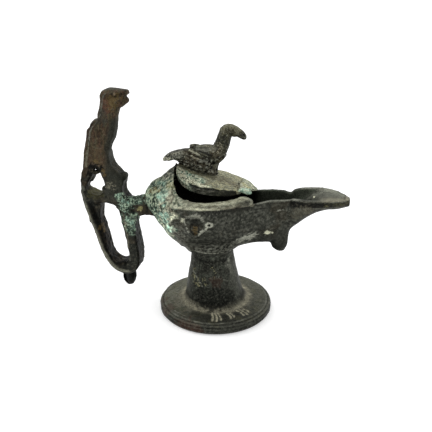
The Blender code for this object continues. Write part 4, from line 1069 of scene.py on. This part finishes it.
crevices = [                     # depth, half width, path: two splits in the near rim, a crack by the tip
    (0.8, 0.62, [(-10.4, -12.8, 73.6), (-6.6, -14.3, 72.6), (-3.6, -14.6, 72.4), (-0.6, -14.6, 72.2),
                 (3.2, -14.2, 71.9)]),
    (0.45, 0.34, [(3.2, -14.2, 71.8), (6.9, -13.3, 71.4), (10.6, -11.6, 70.9)]),
    (0.5, 0.42, [(12.8, -10.4, 70.9), (12.4, -8.2, 71.5), (12.9, -6, 71.7), (12.3, -2, 72.0),
                 (13.2, 1.5, 71.8), (12.6, 5, 71.6), (13.6, 10, 70)]),
]


def lidAdded(forms):             # lump of crust under the near side of the tip
    ball(forms, (16.8, -7.4, 69.4), (2.8, 1.8, 1.3), 12)


def finishLid(skin):
    skin.relaxFlats(lidSizes["flat rounds"], 0.4, 1.4)
    skin.relax(3)
    at = skin.at
    facing = skin.normals()
    x, y, z = at.T
    topSide = rise(facing[:, 2], -0.1, 0.4) * (z > 70)
    grain = mottle(at, 1.5, 4, 61)
    lumps = mottle(at, 3.4, 3, 62)
    rimNear = rise(np.abs(y) - 0.3 * (x + 10), 6, 3) * fall(x, 2, 8)   # widest by the hood, none past x = 2
    worms = squiggle(at, 1.9, 66)
    skin.push(topSide * (lidSizes["lumps"] * lumps + lidSizes["grains"] * grain * (0.3 + rimNear))
              - rimNear * worms * lidSizes["worm depth"])
    corner = rise(x, 15.5, 5) * rise(y, -3, 4)         # the tip's far corner hangs a little
    farSide = rise(y, 1, 4) * rise(x, 3, 4)
    skin.at[:, 2] -= lidSizes["corner lowered"] * corner + lidSizes["far side lowered"] * farSide
    skin.at[:, 0] -= lidSizes["corner drawn in"] * corner
    skin.relax(8, 0.5 * corner)
    splits = np.zeros(len(at))
    for depth, width, path in crevices:
        split = ease((width * (1.35 + lumps) - farFrom(at, path)) / (0.6 * width))
        skin.push(-depth * split)
        splits = np.maximum(splits, split)
    skin.relax(1)
    hollow = skin.hollows(6)
    at = skin.at
    x, y, z = at.T
    tip = rise(x, 12.4, 1.0)
    brushed = mottle(at * np.array((0.35, 1, 1)), 1.0, 3, 67)
    specks = mottle(at, 0.7, 2, 69)
    coat = np.tile(tones["beige"] * (1.02, 1.1, 1.12), (len(at), 1))
    coat = lay(coat, rise(brushed, 0.03, 0.2) * 0.5, tones["straw"] * (0.9, 0.9, 1.0))
    coat = lay(coat, fall(brushed, -0.05, 0.2) * 0.6, tones["olive"] * 0.6)
    coat = lay(coat, rise(specks, 0.12, 0.12) * 0.35, tones["dark"])
    coat = lay(coat, rise(grain, 0.06, 0.2) * 0.5 * rimNear, tones["cream"])
    coat = lay(coat, rise(lumps, 0.02, 0.2) * 0.6 * rimNear, tones["mint"] * 0.8)
    coat = lay(coat, rimNear * worms * 0.9, tones["black"] * 0.8)
    coat = lay(coat, fall(x, -5, 6) * rise(mottle(at, 1.1, 3, 63), -0.02, 0.12) * 0.7, tones["dark"] * 0.8)
    coat = lay(coat, tip * 0.7, tones["beige"] * (1.3, 1.5, 1.5))
    coat = dab(coat, at, mottle(at, 1.1, 3, 68) * 1.4, lidMarks)
    coat = lay(coat, tip * fall(grain, -0.05, 0.15) * 0.5, tones["deep green"])
    coat = lay(coat, tip * rise(specks, 0.06, 0.1) * 0.5, tones["cream"] * 1.1)
    coat = lay(coat, rimNear * rise(specks, 0.04, 0.1) * 0.6, tones["cream"] * 0.9)
    rough = rimNear * 0.8 + tip * 0.3
    coat = lay(coat, rough * fall(specks, -0.04, 0.08) * 0.8, tones["deep green"] * 0.4)
    # the sides and the underside, up to the tip, are dark metal deepened by painted shade, with painted
    # highlights streaked on them
    below = fall(facing[:, 2], 0.42, 0.2) * (x < 12) * ease((x + 11) / 3 + (facing[:, 2] < -0.4))
    coat = lay(coat, below * 0.9, tones["dark"] * 0.85)
    coat = lay(coat, below * rise(brushed, 0.05, 0.12) * fall(x, 6, 8) * 0.7, tones["pale grey"] * 0.9)
    coat = line(coat, at, grain * 1.5, lidLines)
    coat = lay(coat, splits * np.where(x < 11.8, 0.95, 0.5), tones["black"] * 0.6)
    # painted shade in the hollows
    coat = lay(coat, rise(hollow, 0.02, 0.08) * 0.4, tones["dark"])
    skin.store()
    skin.paint("coat", coat)
    skin.paint("crust", np.clip(0.85 - below * 0.6, 0, 1))


# the bird on the lid
birdSizes = {
    "voxel": 0.2, "crease angle": 40, "rounds": 6, "unevenness": 0.1, "low lumps": 0.35,
    "neck forward": 0.35, "wing tip raised": 0.4, "metal": 0.85, "gloss": 0.4, "grain": 0.45,
}


def birdAdded(forms):
    ball(forms, (-10.4, 2.4, 87.8), (3.4, 2.2, 1.8), 6)                 # blunt end of the far wing
    ball(forms, (-4.6, 1.8, 88.1), (5.8, 2.4, 1.8))
    ball(forms, (8.4, 0, 95.9), (1.9, 1.7, 1.2), 20)                    # throat
    rod(forms, (-21.6, -1.5, 82.9), (-14, -1.5, 82.2), 0.9, 1.6)
    ball(forms, (-16.2, 0, 81.3), (3.4, 2.6, 1.3))                      # root of the tail on the lid
    for x, y, z in ((-13.6, -3.4, 80.4), (-9.6, -4.0, 79.2), (-5.6, -4.2, 78.8), (-2.2, -3.4, 77.6)):
        ball(forms, (x, y, z), (1.9, 1.3, 1.2), 20)                     # uneven foot of the body on the lid


birdMarks = [                    # tone, share of it, strength, places (x, y, z, reach)
    ("pale grey", (1.05, 0.99, 0.8), 0.7, [(7.5, -1, 100, 3.0), (10.4, -1, 98.8, 2.2),
                                           (4.6, -2, 98.6, 1.8)]),
    ("dark", (1.3, 1.15, 0.8), 0.8, [(6.8, -2.4, 97.8, 1.7), (8.8, -2.3, 97.2, 1.5)]),
    ("black", 1.0, 0.8, [(13.8, -1.2, 94.8, 1.5), (14.4, 0, 93.4, 1.2)]),
    ("cream", 0.85, 0.7, [(-11.1, -5.2, 85.6, 0.55), (-24.0, -3.7, 83.0, 0.6), (-25.2, -3.2, 82.4, 0.5),
                          (-22.2, -3.9, 83.2, 0.5)]),
    # painted light along the top of the back
    ("pale grey", 0.8, 0.65, [(-8.2, -0.4, 88.6, 1.9), (-5.6, -1.2, 88.8, 2.0), (-3.0, -1.8, 89.0, 2.0),
                              (-0.6, -2.2, 89.0, 1.8)]),
    # painted shade at the far wing's blunt end and under the body
    ("black", 0.7, 0.85, [(-12.9, 2.2, 88.0, 1.2), (-13.3, -3, 82.4, 1.6), (-8, -4.2, 80.6, 1.6),
                          (-3.4, -3.8, 80.4, 1.6)]),
]
birdLines = [                    # tone, share of it, strength, half width, path
    # painted highlight on the near wing's upper edge
    ("cream", 0.8, 0.8, 0.42, [(-12.6, -3.9, 88.2), (-9.8, -4.8, 87.3), (-7.3, -5.2, 86.3)]),
    # painted shadow between the far wing's hump and the near wing
    ("black", 1.0, 0.75, 0.5, [(-9.8, -3.4, 88.3), (-7.2, -3.9, 87.9), (-4.8, -4.2, 87.2),
                               (-2.6, -4.3, 86.2)]),
    # painted highlights on the lower wing's ridge
    ("beige", 0.95, 0.7, 0.4, [(-10.0, -5.6, 84.8), (-7.6, -5.8, 84.2)]),
    ("pale grey", 0.95, 0.75, 0.6, [(-6.4, -5.6, 83.8), (-3.4, -5.0, 83.0)]),
    ("beige", 0.8, 0.5, 0.4, [(-22.0, -3.2, 85.2), (-17.4, -3.6, 86.6), (-13.4, -3.9, 87.6)]),
    # painted highlight on the neck's side
    ("pale grey", 0.8, 0.5, 0.35, [(0.8, -2.0, 91), (2.2, -2.0, 95), (3.8, -2.0, 98.2)]),
]


def finishBird(skin):
    skin.relax(birdSizes["rounds"])
    at = skin.at
    x, z = at[:, 0], at[:, 2]
    low = fall(z, 86, 3) * fall(x, 6, 3)
    skin.push(birdSizes["unevenness"] * mottle(at, 1.4, 3, 72)
              + low * birdSizes["low lumps"] * mottle(at, 2.0, 3, 76))
    skin.at[:, 0] += birdSizes["neck forward"] * rise(z, 88, 2) * fall(z, 99, 2)
    skin.at[:, 2] += birdSizes["wing tip raised"] * fall(x, -11, 3) * rise(z, 84, 1)
    skin.relax(1)
    hollow = skin.hollows(8)
    at = skin.at
    x, z = at[:, 0], at[:, 2]
    fine = mottle(at, 1.1, 4, 73)
    upright = mottle(at * np.array((1, 1, 0.3)), 0.9, 3, 77)
    specks = mottle(at, 0.6, 2, 78)
    coat = np.tile(tones["dark"] * (1.35, 1.25, 1.05), (len(at), 1))
    coat = lay(coat, rise(mottle(at, 5, 3, 74), -0.05, 0.4) * 0.5, tones["brown"] * 0.8)
    coat = lay(coat, rise(z, 89, 6) * 0.4, tones["olive"] * 0.55)
    coat = lay(coat, rise(z, 89.5, 2) * fall(z, 97, 3) * 0.75, tones["dark"] * (0.9, 0.85, 0.72))
    coat = lay(coat, rise(z, 88, 3) * rise(upright, 0.04, 0.2) * 0.35, tones["grey"] * 1.3)
    coat = lay(coat, rise(fine, 0.06, 0.2) * 0.5, tones["grey"] * (1.75, 1.65, 1.3))
    coat = lay(coat, fall(fine, -0.06, 0.2) * 0.6, tones["black"])
    coat = dab(coat, at, fine * 1.5, birdMarks)
    # painted highlight on the crests and painted shade in the hollows
    coat = lay(coat, fall(hollow, -0.012, 0.045) * 0.75, tones["pale grey"] * 1.35)
    coat = lay(coat, rise(hollow, 0.012, 0.045) * 0.9, tones["black"] * 0.5)
    # pale dust on the neck's root, crusted tail tip, painted light on the back's hump and dirt at the foot
    dust = spots(at, [(1.4, -3.4, 88.8, 2.2), (2.2, -3.2, 90.8, 1.8), (-1.0, -3.0, 89.6, 1.8),
                      (-3.4, 2, 89, 2.4)], fine)
    coat = lay(coat, dust * rise(specks, 0.02, 0.1) * 0.7, tones["beige"])
    coat = line(coat, at, fine, birdLines)
    coat = lay(coat, fall(x, -14, 4) * rise(fine, -0.12, 0.25) * 0.55, tones["pale grey"] * 1.25)
    coat = lay(coat, fall(x, -18, 3) * fall(z, 84, 1) * rise(specks, 0.02, 0.08) * 0.8, tones["cream"])
    # painted light on the top of the hump
    humpLight = rise(z, 87.6, 0.8) * rise(x, -13, 1.5) * fall(x, -1, 2)
    coat = lay(coat, humpLight * rise(fine, -0.2, 0.3) * 0.5, tones["pale grey"] * (0.7, 0.68, 0.56))
    base = fall(z, 81, 2)
    coat = lay(coat, base * rise(mottle(at, 1.2, 3, 75), 0, 0.2) * 0.5, tones["beige"] * 0.6)
    skin.store()
    skin.paint("coat", coat)
    skin.paint("crust", np.clip(base * 0.3 + 0.12, 0, 1))


def dress(skin, nodeName, sizes):
    piece = skin.piece
    piece.data.materials.clear()
    piece.data.materials.append(patina(piece.name + "Patina", sizes))
    piece.data.shade_smooth()
    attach(piece, "root")
    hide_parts(nodeName)
    print(piece.name, len(piece.data.vertices), "points")


castings = [                     # node, piece, slot, sizes, finish, added forms, cut forms
    ("lamp_body", "castBody", "body_bronze", bodySizes, finishBody, bodyAdded, bodyCut),
    ("figure_handle", "castHandle", "handle_bronze", handleSizes, finishHandle, handleAdded, handleCut),
    ("lid", "castLid", "lid_bronze", lidSizes, finishLid, lidAdded, None),
    ("bird_finial", "castBird", "bird_bronze", birdSizes, finishBird, birdAdded, None),
]


def buildLamp():
    foot = buildFoot()
    finishFoot(foot)
    dress(foot, "pedestal_foot", footSizes)
    for nodeName, pieceName, slotName, sizes, finishPiece, added, cut in castings:
        skin = castFrom(nodeName, pieceName, sizes, added, cut)
        finishPiece(skin)
        dress(skin, nodeName, sizes)


# floor, light and camera; the camera's place and the floor are in metres
cameraSizes = {
    "place": (0.0496, -0.2814, 0.1680), "tilt": 68.01, "turn": 9.96, "lens": 49.96, "sensor": 36.0,
}
floorSizes = {"half side": 6.0, "drop": 0.00005, "white": 0.8, "own light": 0.4}
lightSizes = {
    # the sky brightens towards each direction: from, to (cosines), strength there and there
    "sky": [((0, 0, 1), -0.1, 0.8, 0.15, 0.8), ((-0.6, 0.8, 0.25), 0.0, 0.9, 0.0, 0.5),
            ((0.9, 0.4, 0.2), 0.2, 0.95, 0.0, 0.5)],
    # name, direction it shines from, spread in degrees, strength
    "suns": [("key", (-0.5, 0.1, 0.8), 50, 0.9)],
}


def buildFloor():
    shape = bmesh.new()
    bmesh.ops.create_grid(shape, x_segments=1, y_segments=1, size=floorSizes["half side"])
    floor = newPiece("paleFloor", shape)
    paint = Finish("palePaint")
    paint.wire("Base Color", rgba([floorSizes["white"]] * 3))
    paint.wire("Emission Color", (1, 1, 1, 1))
    paint.wire("Emission Strength", floorSizes["own light"])
    paint.wire("Roughness", 0.9)
    paint.wire("Specular IOR Level", 0.1)
    floor.data.materials.append(paint.material)
    floor.location.z = -floorSizes["drop"]


def buildSky():
    world = bpy.data.worlds.new("studio")
    world.use_nodes = True
    links, nodes = world.node_tree.links, world.node_tree.nodes
    sky = nodes["Background"]    # its strength is the sum of the ramps that follow
    sky.inputs["Color"].default_value = (1, 1, 1, 1)
    aim = nodes.new("ShaderNodeTexCoord")
    total = None
    for direction, low, high, low2, high2 in lightSizes["sky"]:
        toward = nodes.new("ShaderNodeVectorMath")
        toward.operation = "DOT_PRODUCT"
        toward.inputs[1].default_value = Vector(direction).normalized()
        links.new(aim.outputs["Generated"], toward.inputs[0])
        spread = nodes.new("ShaderNodeMapRange")
        spread.interpolation_type = "SMOOTHSTEP"
        for key, value in (("From Min", low), ("From Max", high), ("To Min", low2), ("To Max", high2)):
            spread.inputs[key].default_value = value
        links.new(toward.outputs["Value"], spread.inputs["Value"])
        if total is None:
            total = spread.outputs[0]
        else:
            add = nodes.new("ShaderNodeMath")
            links.new(total, add.inputs[0])
            links.new(spread.outputs[0], add.inputs[1])
            total = add.outputs[0]
    links.new(total, sky.inputs["Strength"])
    bpy.context.scene.world = world


def buildSuns():
    for name, place, spread, strength in lightSizes["suns"]:
        lamp = bpy.data.lights.new(name, "SUN")
        lamp.angle, lamp.energy = math.radians(spread), strength
        light = bpy.data.objects.new(name, lamp)
        light.location = place
        light.rotation_euler = (-Vector(place)).to_track_quat("-Z", "Y").to_euler()
        bpy.context.scene.collection.objects.link(light)


def buildCamera():
    lens = bpy.data.cameras.new("camera")
    lens.lens, lens.sensor_width = cameraSizes["lens"], cameraSizes["sensor"]
    lens.clip_start = 0.01
    camera = bpy.data.objects.new("camera", lens)
    camera.location = cameraSizes["place"]
    camera.rotation_euler = (math.radians(cameraSizes["tilt"]), 0, math.radians(cameraSizes["turn"]))
    bpy.context.scene.collection.objects.link(camera)
    bpy.context.scene.camera = camera
    bpy.context.scene.view_settings.view_transform = "Standard"


buildFloor()
buildSky()
buildSuns()
buildCamera()
print("floor, sky, sun and camera are in place")
buildLamp()
